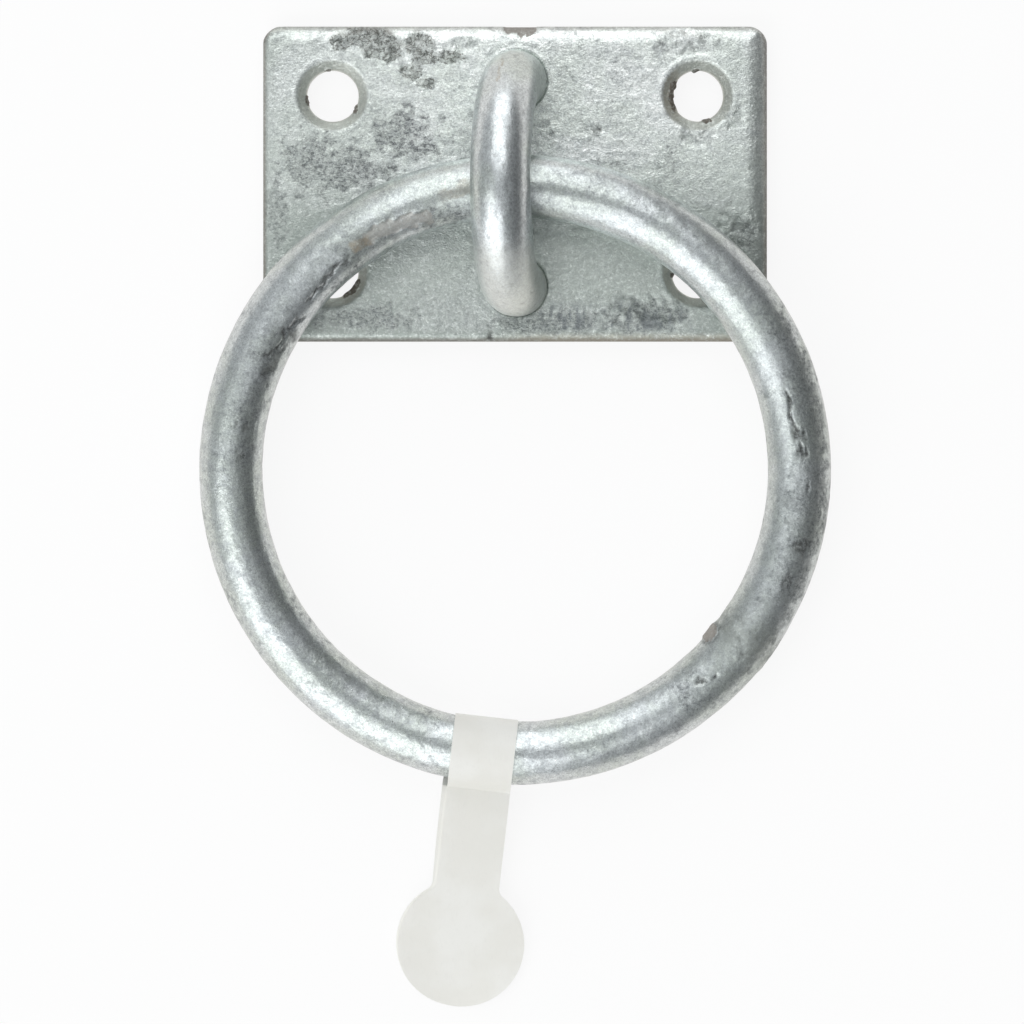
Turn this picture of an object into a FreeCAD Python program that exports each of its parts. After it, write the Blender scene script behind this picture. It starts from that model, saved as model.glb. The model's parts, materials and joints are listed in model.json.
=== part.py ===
import FreeCAD, Part
import math
import os
import Sketcher

# A tie-down ring plate, lying on its back: a flat plate with four countersunk screw
# holes, a round-bar staple let through it and welded behind, a loose welded ring in
# the staple's eye, and a blank paper tag folded round the ring's far side.
# Millimetres. The origin is the centre of the plate's back face, +Z points out of
# its front, +Y towards its upper edge, and the ring lies towards -Y.

V = FreeCAD.Vector

doc = FreeCAD.newDocument("ring_plate")

# Driving sizes
sheet = doc.addObject("Spreadsheet::Sheet", "sizes")

DRIVING_SIZES = {
    # plate
    "plate_width": 80.0,
    "plate_height": 50.0,
    "plate_thick": 5.0,
    "plate_corner": 3.3,
    "front_roll": 1.5,
    "back_roll": 0.6,
    # screw holes
    "screw_across": 58.0,
    "screw_up": 28.0,
    "screw_bore": 8.2,
    "screw_rim": 11.4,
    "screw_cone": 90.0,
    # staple
    "staple_bar": 9.5,
    "leg_spacing": 32.7,
    "upper_bend": 16.5,
    "lower_bend": 15.9,
    "staple_lean": 8.5,
    "staple_shift": 0.3,
    "crown_room": 1.3,
    "leg_room": 0.15,
    # welds behind the staple's legs
    "weld_depth": 1.5,
    "weld_sink": 0.3,
    "weld_crown_sink": 0.05,
    # ring
    "ring_inner": 80.0,
    "ring_bar": 10.0,
    "eye_drop": 0.6,
    "rest_room": 0.3,
    "seam_angle": 36.0,
    "seam_width": 8.0,
    "seam_swell": 0.35,
    "seam_bite": 0.3,
    # tag
    "paper": 0.2,
    "paper_room": 0.4,
    "pinch_room": 1.2,
    "tag_width": 10.1,
    "tag_reach": 31.2,
    "tag_head": 20.3,
    "neck_fillet": 3.0,
    "layer_slip": 0.8,
    "tag_angle": 6.5,
}

for row, (alias, value) in enumerate(DRIVING_SIZES.items(), start=1):
    sheet.set(f"A{row}", alias)
    sheet.set(f"B{row}", str(value))
    sheet.setAlias(f"B{row}", alias)
doc.recompute()

# Sizes worked out from the driving ones, as expressions

# The bar's centre line runs on this radius.
RING_RADIUS = "((sizes.ring_inner + sizes.ring_bar) / 2)"

# The far side of the ring lies on the folded paper, so its bar's centre is this high.
FAR_HEIGHT = "(sizes.paper + sizes.paper_room + sizes.ring_bar / 2)"

# The near side lies over the plate's lower edge, where the front's rounding begins.
REST_RISE = "(sizes.plate_thick + sizes.rest_room - sizes.paper - sizes.paper_room)"
REST_REACH = (
    f"(sizes.eye_drop + 2 * {RING_RADIUS} - sizes.plate_height / 2 + sizes.front_roll)"
)
RING_TILT = f"atan({REST_RISE} / {REST_REACH})"

# The bar's centre in the staple's eye, which is also the line the ring swings about.
EYE_HEIGHT = f"({FAR_HEIGHT} + 2 * {RING_RADIUS} * sin({RING_TILT}))"

# The crown's centre line stands this far out of the plate's front, along its lean.
STAPLE_RISE = (
    f"(({EYE_HEIGHT} - sizes.plate_thick + sizes.ring_bar / 2 + sizes.crown_room)"
    " / cos(sizes.staple_lean) + sizes.staple_bar / 2)"
)
LEG_HOLE_RADIUS = "(sizes.staple_bar / 2 + sizes.leg_room)"

# The tag's head slopes down until its tip is on the floor.
HEAD_TIP = "(sizes.tag_reach + sizes.tag_head / 2)"
TAG_SLOPE = f"asin(({FAR_HEIGHT} - sizes.paper) / {HEAD_TIP})"
LOOP_INNER = "(sizes.ring_bar / 2 + sizes.paper_room)"
LOOP_OUTER = f"({LOOP_INNER} + sizes.paper)"
PINCH = f"({LOOP_INNER} + sizes.pinch_room)"


def value_of(expression):
    """The number that an expression gives, for a sketch's first drawing."""
    result = sheet.evalExpression(expression)
    return float(getattr(result, "Value", result))


# Helpers for bodies and sketches

def new_body(label):
    body = doc.addObject("PartDesign::Body", f"{label}_body")
    body.Label = label
    return body


def origin_plane(body, role):
    for feature in body.Origin.OriginFeatures:
        if feature.Role == role:
            return feature
    raise ValueError(role)


def new_sketch(body, name, role, offset=None):
    """A sketch on one of the body's own planes, moved by a placement expression."""
    sketch = body.newObject("Sketcher::SketchObject", name)
    sketch.AttachmentSupport = (origin_plane(body, role), [""])
    sketch.MapMode = "FlatFace"
    if offset:
        sketch.setExpression("AttachmentOffset", offset)
    return sketch


def moved(x="0", y="0", z="0"):
    """A placement expression that only moves."""
    return f"placement(vector({x}; {y}; {z}); rotation(vector(0; 0; 1); 0))"


def line(sketch, start, end):
    return sketch.addGeometry(Part.LineSegment(V(*start, 0), V(*end, 0)))


def arc(sketch, centre, radius, start_angle, end_angle):
    """An arc drawn anticlockwise, with its angles in degrees."""
    circle = Part.Circle(V(*centre, 0), V(0, 0, 1), radius)
    ends = (math.radians(start_angle), math.radians(end_angle))
    return sketch.addGeometry(Part.ArcOfCircle(circle, *ends))


def circle(sketch, centre, radius):
    return sketch.addGeometry(Part.Circle(V(*centre, 0), V(0, 0, 1), radius))


def rule(sketch, kind, *where):
    sketch.addConstraint(Sketcher.Constraint(kind, *where))


def sized(sketch, name, kind, where, expression):
    """A dimension of the sketch, tied to the sheet."""
    index = sketch.addConstraint(Sketcher.Constraint(kind, *where, value_of(expression)))
    sketch.renameConstraint(index, name)
    sketch.setExpression(f"Constraints.{name}", expression)


def edges_at_height(shape, height):
    """Names of the edges that lie flat at one height."""
    names = []
    for number, edge in enumerate(shape.Edges, start=1):
        box = edge.BoundBox
        if abs(box.ZMin - height) < 1e-6 and abs(box.ZMax - height) < 1e-6:
            names.append(f"Edge{number}")
    return names


START, END, CENTRE = range(1, 4)
H_AXIS, V_AXIS = -1, -2
ORIGIN = (-1, 1)


# Plate

def draw_rounded_rectangle(sketch, width, height, corner):
    """Four sides and four corner arcs, centred on the sketch's origin."""
    half_w = value_of(width) / 2
    half_h = value_of(height) / 2
    r = value_of(corner)
    bottom = line(sketch, (-half_w + r, -half_h), (half_w - r, -half_h))
    right = line(sketch, (half_w, -half_h + r), (half_w, half_h - r))
    top = line(sketch, (half_w - r, half_h), (-half_w + r, half_h))
    left = line(sketch, (-half_w, half_h - r), (-half_w, -half_h + r))
    corners = (
        arc(sketch, (half_w - r, -half_h + r), r, 270, 360),
        arc(sketch, (half_w - r, half_h - r), r, 0, 90),
        arc(sketch, (-half_w + r, half_h - r), r, 90, 180),
        arc(sketch, (-half_w + r, -half_h + r), r, 180, 270),
    )
    sides = (bottom, right, top, left)
    for number, corner_arc in enumerate(corners):
        rule(sketch, "Tangent", sides[number], END, corner_arc, START)
        rule(sketch, "Tangent", corner_arc, END, sides[(number + 1) % 4], START)
    for corner_arc in corners[1:]:
        rule(sketch, "Equal", corners[0], corner_arc)
    rule(sketch, "Symmetric", bottom, START, bottom, END, V_AXIS)
    rule(sketch, "Symmetric", right, START, right, END, H_AXIS)
    rule(sketch, "Horizontal", top)
    rule(sketch, "Vertical", left)
    sized(sketch, "width", "DistanceX", (left, START, right, START), width)
    sized(sketch, "height", "DistanceY", (bottom, START, top, START), height)
    sized(sketch, "corner", "Radius", (corners[0],), corner)


def draw_screw_holes(sketch):
    """Four circles on the screw rectangle."""
    half_x = value_of("sizes.screw_across") / 2
    half_y = value_of("sizes.screw_up") / 2
    radius = value_of("sizes.screw_bore") / 2
    places = ((half_x, half_y), (-half_x, half_y), (-half_x, -half_y), (half_x, -half_y))
    holes = [circle(sketch, place, radius) for place in places]
    for hole in holes[1:]:
        rule(sketch, "Equal", holes[0], hole)
    rule(sketch, "Symmetric", holes[0], CENTRE, holes[1], CENTRE, V_AXIS)
    rule(sketch, "Symmetric", holes[0], CENTRE, holes[3], CENTRE, H_AXIS)
    rule(sketch, "Symmetric", holes[1], CENTRE, holes[2], CENTRE, H_AXIS)
    sized(sketch, "bore", "Diameter", (holes[0],), "sizes.screw_bore")
    sized(sketch, "across", "DistanceX", (holes[1], CENTRE, holes[0], CENTRE),
          "sizes.screw_across")
    sized(sketch, "up", "DistanceY", (holes[3], CENTRE, holes[0], CENTRE), "sizes.screw_up")


def draw_leg_hole(sketch):
    """Half the section of a leg's hole, with its weld bevel at the plate's back."""
    bore = value_of(LEG_HOLE_RADIUS)
    bevel = value_of("sizes.weld_depth")
    thick = value_of("sizes.plate_thick")
    axis_side = line(sketch, (0, thick), (0, 0))
    back = line(sketch, (0, 0), (bore + bevel, 0))
    slope = line(sketch, (bore + bevel, 0), (bore, bevel))
    wall = line(sketch, (bore, bevel), (bore, thick))
    front = line(sketch, (bore, thick), (0, thick))
    outline = (axis_side, back, slope, wall, front)
    for number, side in enumerate(outline):
        rule(sketch, "Coincident", side, END, outline[(number + 1) % 5], START)
    rule(sketch, "Coincident", back, START, *ORIGIN)
    rule(sketch, "Vertical", axis_side)
    rule(sketch, "Horizontal", back)
    rule(sketch, "Vertical", wall)
    rule(sketch, "Horizontal", front)
    sized(sketch, "thick", "DistanceY", (axis_side, END, axis_side, START),
          "sizes.plate_thick")
    sized(sketch, "bore", "DistanceX", (front, END, front, START), LEG_HOLE_RADIUS)
    sized(sketch, "bevel_up", "DistanceY", (back, START, slope, END), "sizes.weld_depth")
    sized(sketch, "bevel_out", "DistanceX", (back, START, back, END),
          f"{LEG_HOLE_RADIUS} + sizes.weld_depth")


def make_plate():
    body = new_body("plate")
    outline = new_sketch(body, "plate_outline", "XY_Plane")
    draw_rounded_rectangle(outline, "sizes.plate_width", "sizes.plate_height",
                           "sizes.plate_corner")
    blank = body.newObject("PartDesign::Pad", "blank")
    blank.Profile = outline
    blank.setExpression("Length", "sizes.plate_thick")
    doc.recompute()

    # The front's edge is rolled over, and the back's only eased.
    front_edges = edges_at_height(blank.Shape, value_of("sizes.plate_thick"))
    front = body.newObject("PartDesign::Fillet", "rolled_front")
    front.Base = (blank, front_edges)
    front.setExpression("Radius", "sizes.front_roll")
    doc.recompute()
    back = body.newObject("PartDesign::Fillet", "eased_back")
    back.Base = (front, edges_at_height(front.Shape, 0))
    back.setExpression("Radius", "sizes.back_roll")
    doc.recompute()

    # Screw holes, countersunk from the front
    centres = new_sketch(body, "screw_centres", "XY_Plane", moved(z="sizes.plate_thick"))
    draw_screw_holes(centres)
    doc.recompute()
    screws = body.newObject("PartDesign::Hole", "screw_holes")
    screws.Profile = centres
    screws.ThreadType = "None"
    screws.DepthType = "ThroughAll"
    screws.HoleCutType = "Countersink"
    screws.setExpression("Diameter", "sizes.screw_bore")
    screws.setExpression("HoleCutDiameter", "sizes.screw_rim")
    screws.setExpression("HoleCutCountersinkAngle", "sizes.screw_cone")
    doc.recompute()

    # Holes for the staple's legs, one cut and its mirror image
    section = new_sketch(body, "leg_hole_section", "YZ_Plane",
                         moved(x="sizes.leg_spacing / 2", z="sizes.staple_shift"))
    draw_leg_hole(section)
    leg_hole = body.newObject("PartDesign::Groove", "leg_hole")
    leg_hole.Profile = section
    leg_hole.ReferenceAxis = (section, ["V_Axis"])
    leg_hole.Angle = 360
    doc.recompute()
    both = body.newObject("PartDesign::Mirrored", "leg_holes")
    both.Originals = [leg_hole]
    both.MirrorPlane = (origin_plane(body, "XZ_Plane"), [""])
    body.Tip = both
    return body


# Staple

def draw_arch(sketch):
    """The centre line above the plate's front: two legs, two bends and a short crown."""
    half = value_of("sizes.leg_spacing") / 2
    rise = value_of(STAPLE_RISE)
    first = value_of("sizes.upper_bend")
    last = value_of("sizes.lower_bend")
    upper = line(sketch, (half, 0), (half, rise - first))
    upper_bend = arc(sketch, (half - first, rise - first), first, 0, 90)
    crown = line(sketch, (half - first, rise), (-half + last, rise))
    lower_bend = arc(sketch, (-half + last, rise - last), last, 90, 180)
    lower = line(sketch, (-half, rise - last), (-half, 0))
    rule(sketch, "Tangent", upper, END, upper_bend, START)
    rule(sketch, "Tangent", upper_bend, END, crown, START)
    rule(sketch, "Tangent", crown, END, lower_bend, START)
    rule(sketch, "Tangent", lower_bend, END, lower, START)
    rule(sketch, "Vertical", upper)
    rule(sketch, "Horizontal", crown)
    rule(sketch, "Vertical", lower)
    rule(sketch, "Symmetric", upper, START, lower, END, V_AXIS)
    rule(sketch, "PointOnObject", upper, START, H_AXIS)
    sized(sketch, "upper_bend", "Radius", (upper_bend,), "sizes.upper_bend")
    sized(sketch, "lower_bend", "Radius", (lower_bend,), "sizes.lower_bend")
    sized(sketch, "spacing", "DistanceX", (lower, END, upper, START), "sizes.leg_spacing")
    sized(sketch, "rise", "DistanceY", (upper, START, crown, START), STAPLE_RISE)


def draw_bar_section(sketch, diameter, place):
    """A round bar's section, its centre at a height on the sketch's vertical axis."""
    bar = circle(sketch, (0, value_of(place)), value_of(diameter) / 2)
    rule(sketch, "PointOnObject", bar, CENTRE, V_AXIS)
    sized(sketch, "diameter", "Diameter", (bar,), diameter)
    sized(sketch, "place", "DistanceY", (*ORIGIN, bar, CENTRE), place)


def make_staple():
    """The bar is straight through the plate and leans over from the front face up."""
    body = new_body("staple")
    body.setExpression("Placement", moved(x="sizes.staple_shift", z="sizes.plate_thick"))

    route = new_sketch(
        body, "arch_route", "YZ_Plane",
        "placement(vector(0; 0; 0); rotation(vector(1; 0; 0); -sizes.staple_lean))")
    draw_arch(route)
    section = new_sketch(
        body, "arch_section", "XY_Plane",
        "placement(vector(0; 0; 0); rotation(vector(0; 1; 0); -sizes.staple_lean))")
    draw_bar_section(section, "sizes.staple_bar", "sizes.leg_spacing / 2")
    doc.recompute()
    arch = body.newObject("PartDesign::AdditivePipe", "arch")
    arch.Profile = section
    arch.Spine = (route, ["Edge1", "Edge2", "Edge3", "Edge4", "Edge5"])
    doc.recompute()

    # Half a ball makes the elbow between each leaning end and its straight leg.
    elbow = body.newObject("PartDesign::AdditiveSphere", "elbow")
    elbow.AttachmentSupport = (origin_plane(body, "XY_Plane"), [""])
    elbow.MapMode = "FlatFace"
    elbow.setExpression("AttachmentOffset", moved(y="sizes.leg_spacing / 2"))
    elbow.setExpression("Radius", "sizes.staple_bar / 2")
    elbow.Angle1 = 0
    elbow.Angle2 = 90
    doc.recompute()
    leg_section = new_sketch(body, "leg_section", "XY_Plane")
    draw_bar_section(leg_section, "sizes.staple_bar", "sizes.leg_spacing / 2")
    leg = body.newObject("PartDesign::Pad", "leg")
    leg.Profile = leg_section
    leg.Reversed = True
    leg.setExpression("Length", "sizes.plate_thick - sizes.weld_depth")
    doc.recompute()
    both = body.newObject("PartDesign::Mirrored", "legs_and_elbows")
    both.Originals = [elbow, leg]
    both.MirrorPlane = (origin_plane(body, "XZ_Plane"), [""])
    body.Tip = both
    return body


# Welds behind the legs

def draw_weld(sketch):
    """Half the section of a plug of weld in its bevel, slightly crowned at the back."""
    bore = value_of(LEG_HOLE_RADIUS)
    bevel = value_of("sizes.weld_depth")
    sink = value_of("sizes.weld_sink")
    crown = value_of("sizes.weld_crown_sink")
    rim = bore + bevel - sink
    face_radius = (rim ** 2 + (sink - crown) ** 2) / (2 * (sink - crown))
    middle = line(sketch, (0, bevel), (0, crown))
    face = sketch.addGeometry(
        Part.Arc(V(0, crown, 0),
                 V(rim / 2, crown + (rim / 2) ** 2 / (2 * face_radius), 0),
                 V(rim, sink, 0)))
    slope = line(sketch, (rim, sink), (bore, bevel))
    seat = line(sketch, (bore, bevel), (0, bevel))
    rule(sketch, "Coincident", seat, END, middle, START)
    rule(sketch, "Coincident", middle, END, face, START)
    rule(sketch, "Coincident", face, END, slope, START)
    rule(sketch, "Coincident", slope, END, seat, START)
    rule(sketch, "PointOnObject", middle, START, V_AXIS)
    rule(sketch, "PointOnObject", middle, END, V_AXIS)
    rule(sketch, "PointOnObject", face, CENTRE, V_AXIS)
    rule(sketch, "Horizontal", seat)
    sized(sketch, "depth", "DistanceY", (*ORIGIN, middle, START), "sizes.weld_depth")
    sized(sketch, "crown", "DistanceY", (*ORIGIN, middle, END), "sizes.weld_crown_sink")
    sized(sketch, "sink", "DistanceY", (*ORIGIN, face, END), "sizes.weld_sink")
    sized(sketch, "bore", "DistanceX", (seat, END, seat, START), LEG_HOLE_RADIUS)
    sized(sketch, "rim", "DistanceX", (*ORIGIN, face, END),
          f"{LEG_HOLE_RADIUS} + sizes.weld_depth - sizes.weld_sink")


def make_weld(label, side):
    body = new_body(label)
    body.setExpression(
        "Placement", moved(x="sizes.staple_shift", y=f"{side} * sizes.leg_spacing / 2"))
    section = new_sketch(body, f"{label}_section", "XZ_Plane")
    draw_weld(section)
    plug = body.newObject("PartDesign::Revolution", f"{label}_plug")
    plug.Profile = section
    plug.ReferenceAxis = (section, ["V_Axis"])
    plug.Angle = 360
    return body


# Ring

def draw_ring_section(sketch):
    """The bar's round section, out on the ring's radius."""
    bar = circle(sketch, (value_of(RING_RADIUS), 0), value_of("sizes.ring_bar") / 2)
    rule(sketch, "PointOnObject", bar, CENTRE, H_AXIS)
    sized(sketch, "stock", "Diameter", (bar,), "sizes.ring_bar")
    sized(sketch, "radius", "DistanceX", (*ORIGIN, bar, CENTRE), RING_RADIUS)


def draw_seam(sketch):
    """Half the length section of the swelling at the butt weld, on its own axis."""
    half = value_of("sizes.seam_width") / 2
    bar = value_of("sizes.ring_bar") / 2
    end = bar - value_of("sizes.seam_bite")
    top = bar + value_of("sizes.seam_swell")
    axis_side = line(sketch, (0, half), (0, -half))
    near = line(sketch, (0, -half), (end, -half))
    swelling = sketch.addGeometry(
        Part.Arc(V(end, -half, 0), V(top, 0, 0), V(end, half, 0)))
    far = line(sketch, (end, half), (0, half))
    rule(sketch, "Coincident", axis_side, END, near, START)
    rule(sketch, "Coincident", near, END, swelling, START)
    rule(sketch, "Coincident", swelling, END, far, START)
    rule(sketch, "Coincident", far, END, axis_side, START)
    rule(sketch, "Horizontal", near)
    rule(sketch, "Horizontal", far)
    rule(sketch, "Equal", near, far)
    rule(sketch, "Symmetric", axis_side, START, axis_side, END, H_AXIS)
    rule(sketch, "PointOnObject", axis_side, START, V_AXIS)
    sized(sketch, "width", "DistanceY", (axis_side, END, axis_side, START),
          "sizes.seam_width")
    sized(sketch, "end", "DistanceX", (near, START, near, END),
          "sizes.ring_bar / 2 - sizes.seam_bite")
    sized(sketch, "bulge", "Radius", (swelling,),
          "((sizes.seam_swell + sizes.seam_bite) ^ 2 + (sizes.seam_width / 2) ^ 2)"
          " / (2 * (sizes.seam_swell + sizes.seam_bite))")


def make_ring():
    """The ring leans from the staple's eye over the plate's edge down to the floor."""
    body = new_body("ring")
    body.setExpression(
        "Placement",
        f"placement(vector(0; -sizes.eye_drop - {RING_RADIUS} * cos({RING_TILT});"
        f" {FAR_HEIGHT} + {RING_RADIUS} * sin({RING_TILT}));"
        f" rotation(vector(1; 0; 0); {RING_TILT}))")
    section = new_sketch(body, "ring_section", "XZ_Plane")
    draw_ring_section(section)
    hoop = body.newObject("PartDesign::Revolution", "hoop")
    hoop.Profile = section
    hoop.ReferenceAxis = (section, ["V_Axis"])
    hoop.Angle = 360
    doc.recompute()

    seam_section = new_sketch(
        body, "seam_section", "XY_Plane",
        f"placement(vector({RING_RADIUS} * cos(sizes.seam_angle);"
        f" -{RING_RADIUS} * sin(sizes.seam_angle); 0);"
        " rotation(vector(0; 0; 1); -sizes.seam_angle))")
    draw_seam(seam_section)
    seam = body.newObject("PartDesign::Revolution", "welded_seam")
    seam.Profile = seam_section
    seam.ReferenceAxis = (seam_section, ["V_Axis"])
    seam.Angle = 360
    return body


# Tag

def draw_loop(sketch, radius, pinch):
    """A drop shape round the bar, its two straight sides meeting at the pinch."""
    r = value_of(radius)
    tip = value_of(pinch)
    spread = math.degrees(math.acos(r / tip))
    touch_x = -r * math.cos(math.radians(spread))
    touch_y = r * math.sin(math.radians(spread))
    wrap = arc(sketch, (0, 0), r, 180 + spread, 540 - spread)
    upper = line(sketch, (touch_x, touch_y), (-tip, 0))
    lower = line(sketch, (-tip, 0), (touch_x, -touch_y))
    rule(sketch, "Coincident", wrap, CENTRE, *ORIGIN)
    rule(sketch, "Tangent", wrap, END, upper, START)
    rule(sketch, "Coincident", upper, END, lower, START)
    rule(sketch, "Tangent", lower, END, wrap, START)
    rule(sketch, "PointOnObject", upper, END, H_AXIS)
    return wrap, upper


def draw_tag_loop(sketch):
    """The paper's inner and outer faces round the bar."""
    inner_wrap, inner_side = draw_loop(sketch, LOOP_INNER, PINCH)
    outer_wrap, outer_side = draw_loop(
        sketch, LOOP_OUTER, f"{PINCH} * {LOOP_OUTER} / {LOOP_INNER}")
    sized(sketch, "inner", "Radius", (inner_wrap,), LOOP_INNER)
    sized(sketch, "outer", "Radius", (outer_wrap,), LOOP_OUTER)
    sized(sketch, "pinch", "DistanceX", (inner_side, END, *ORIGIN), PINCH)
    rule(sketch, "Parallel", inner_side, outer_side)


def draw_tag_leaf(sketch):
    """The tail and round head of one layer of paper."""
    half = value_of("sizes.tag_width") / 2
    start = -value_of(PINCH)
    reach = value_of("sizes.tag_reach")
    head = value_of("sizes.tag_head") / 2
    fillet = value_of("sizes.neck_fillet")
    lift = math.sqrt((head + fillet) ** 2 - (half + fillet) ** 2)
    neck = -reach + lift
    lean = math.degrees(math.atan2(lift, half + fillet))
    top = line(sketch, (half, start), (-half, start))
    left = line(sketch, (-half, start), (-half, neck))
    left_neck = arc(sketch, (-half - fillet, neck), fillet, -lean, 0)
    round_head = arc(sketch, (0, -reach), head, 180 - lean, 360 + lean)
    right_neck = arc(sketch, (half + fillet, neck), fillet, 180, 180 + lean)
    right = line(sketch, (half, neck), (half, start))
    rule(sketch, "Coincident", top, END, left, START)
    rule(sketch, "Tangent", left, END, left_neck, END)
    rule(sketch, "Tangent", left_neck, START, round_head, START)
    rule(sketch, "Tangent", round_head, END, right_neck, END)
    rule(sketch, "Tangent", right_neck, START, right, START)
    rule(sketch, "Coincident", right, END, top, START)
    rule(sketch, "Symmetric", top, START, top, END, V_AXIS)
    rule(sketch, "Vertical", left)
    rule(sketch, "Vertical", right)
    rule(sketch, "PointOnObject", round_head, CENTRE, V_AXIS)
    rule(sketch, "Equal", left_neck, right_neck)
    sized(sketch, "width", "DistanceX", (top, END, top, START), "sizes.tag_width")
    sized(sketch, "start", "DistanceY", (top, START, *ORIGIN), PINCH)
    sized(sketch, "reach", "DistanceY", (round_head, CENTRE, *ORIGIN), "sizes.tag_reach")
    sized(sketch, "head", "Radius", (round_head,), "sizes.tag_head / 2")
    sized(sketch, "fillet", "Radius", (left_neck,), "sizes.neck_fillet")


def make_tag():
    """One strip folded round the bar, its two leaves stuck together and a little askew."""
    body = new_body("label_tag")
    body.setExpression(
        "Placement",
        f"placement(vector(-{RING_RADIUS} * sin(sizes.tag_angle);"
        f" -sizes.eye_drop - {RING_RADIUS} * (1 + cos(sizes.tag_angle)) * cos({RING_TILT});"
        f" {FAR_HEIGHT} + {RING_RADIUS} * (1 - cos(sizes.tag_angle)) * sin({RING_TILT}));"
        " rotation(vector(0; 0; 1); -sizes.tag_angle)"
        f" * rotation(vector(1; 0; 0); {TAG_SLOPE}))")
    drop = new_sketch(body, "loop_section", "YZ_Plane")
    draw_tag_loop(drop)
    loop = body.newObject("PartDesign::Pad", "loop")
    loop.Profile = drop
    loop.Midplane = True
    loop.setExpression("Length", "sizes.tag_width")
    doc.recompute()
    front_outline = new_sketch(body, "front_leaf_outline", "XY_Plane")
    draw_tag_leaf(front_outline)
    front_leaf = body.newObject("PartDesign::Pad", "front_leaf")
    front_leaf.Profile = front_outline
    front_leaf.setExpression("Length", "sizes.paper")
    doc.recompute()
    back_outline = new_sketch(body, "back_leaf_outline", "XY_Plane",
                              moved(x="-sizes.layer_slip"))
    draw_tag_leaf(back_outline)
    back_leaf = body.newObject("PartDesign::Pad", "back_leaf")
    back_leaf.Profile = back_outline
    back_leaf.Reversed = True
    back_leaf.setExpression("Length", "sizes.paper")
    return body


bodies = [
    make_plate(),
    make_staple(),
    make_weld("back_weld_upper", 1),
    make_weld("back_weld_lower", -1),
    make_ring(),
    make_tag(),
]
doc.recompute()

# Nothing is written unless every feature is sound.
for thing in doc.Objects:
    if "Invalid" in thing.State or "Error" in thing.State:
        raise RuntimeError(f"{thing.Label} failed: {thing.State}")
for body in bodies:
    if body.Shape.isNull() or not body.Shape.isValid():
        raise RuntimeError(f"{body.Label} has no sound shape")
    if len(body.Shape.Solids) != 1:
        raise RuntimeError(f"{body.Label} is {len(body.Shape.Solids)} solids")

os.makedirs("parts", exist_ok=True)
for body in bodies:
    body.Shape.exportStep(f"parts/{body.Label}.step")
    box = body.Shape.optimalBoundingBox()
    print(f"{body.Label:16s} {body.Shape.Volume:10.2f} mm3"
          f"  x {box.XMin:7.2f} {box.XMax:7.2f}  y {box.YMin:8.2f} {box.YMax:7.2f}"
          f"  z {box.ZMin:6.2f} {box.ZMax:6.2f}")
print(f"ring tilt {value_of(RING_TILT):.3f} deg, eye height {value_of(EYE_HEIGHT):.3f} mm,"
      f" staple rise {value_of(STAPLE_RISE):.3f} mm, tag slope {value_of(TAG_SLOPE):.3f} deg")
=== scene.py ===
# %% [markdown]
# # A galvanised ring plate
# The part is a steel plate with four screw holes, a bent staple welded into it, a loose
# ring and a folded paper tag. All steel has been dipped in molten zinc, so its surface
# is never plain: it has ripples, pits, lumps of dross and grey, speckled patches.
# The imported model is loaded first, as the frame that every piece is built on.

# %% Load the frame
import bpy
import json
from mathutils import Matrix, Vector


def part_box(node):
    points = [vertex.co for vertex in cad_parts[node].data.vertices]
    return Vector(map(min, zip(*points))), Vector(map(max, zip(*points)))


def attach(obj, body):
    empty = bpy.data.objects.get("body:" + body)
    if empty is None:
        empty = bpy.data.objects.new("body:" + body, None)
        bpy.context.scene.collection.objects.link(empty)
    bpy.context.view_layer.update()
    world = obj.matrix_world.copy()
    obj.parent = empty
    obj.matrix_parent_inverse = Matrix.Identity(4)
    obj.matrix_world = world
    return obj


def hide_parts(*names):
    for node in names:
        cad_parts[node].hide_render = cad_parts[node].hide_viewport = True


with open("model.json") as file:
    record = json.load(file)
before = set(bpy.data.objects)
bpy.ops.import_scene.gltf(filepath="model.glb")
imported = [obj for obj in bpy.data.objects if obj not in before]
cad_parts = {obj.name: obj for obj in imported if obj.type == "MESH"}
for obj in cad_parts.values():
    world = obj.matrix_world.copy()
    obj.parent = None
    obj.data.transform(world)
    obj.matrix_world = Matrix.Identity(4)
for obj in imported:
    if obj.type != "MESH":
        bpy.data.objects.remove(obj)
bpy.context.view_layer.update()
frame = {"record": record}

# %% [markdown]
# ## Sizes
# Blender works in metres, but the part is thought of in millimetres. The places come
# from the frame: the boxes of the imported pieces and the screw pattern.

# %% Read the sizes
import json
import math
from collections import namedtuple

import bpy
import numpy as np
from mathutils import Matrix, Vector, noise

MM = 0.001
scene = bpy.context.scene
mounts = {mount["name"]: mount for mount in frame["record"]["mounts"]}
screw_dims = mounts["screw_holes"]["dims"]

plate_low, plate_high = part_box("plate")
PLATE_W, PLATE_H, PLATE_T = plate_high - plate_low
SCREW_X = screw_dims["spacing_x_mm"] * MM / 2
SCREW_Y = screw_dims["spacing_y_mm"] * MM / 2
SCREW_R = screw_dims["hole_r_mm"] * MM

weld_low, weld_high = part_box("back_weld_upper")
LEG_X = (weld_low.x + weld_high.x) / 2
LEG_Y = (weld_low.y + weld_high.y) / 2

ring_low, ring_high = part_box("ring")
RING_BAR = 10 * MM / 2
RING_R = (ring_high.x - ring_low.x) / 2 - RING_BAR
RING_TILT = math.asin((ring_high.z - ring_low.z - 2 * RING_BAR) / (2 * RING_R))
RING_C = Vector((0, (ring_low.y + ring_high.y) / 2, (ring_low.z + ring_high.z) / 2))
print("plate", PLATE_W, PLATE_H, PLATE_T, "ring radius", RING_R,
      "tilt", math.degrees(RING_TILT))

# %% [markdown]
# ## Helpers for nodes
# The room, the zinc, the paper and the floor are node trees. These helpers add nodes and
# feed their inputs. Object coordinates are turned into millimetres, so a noise scale of 2
# makes features of about half a millimetre.

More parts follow.
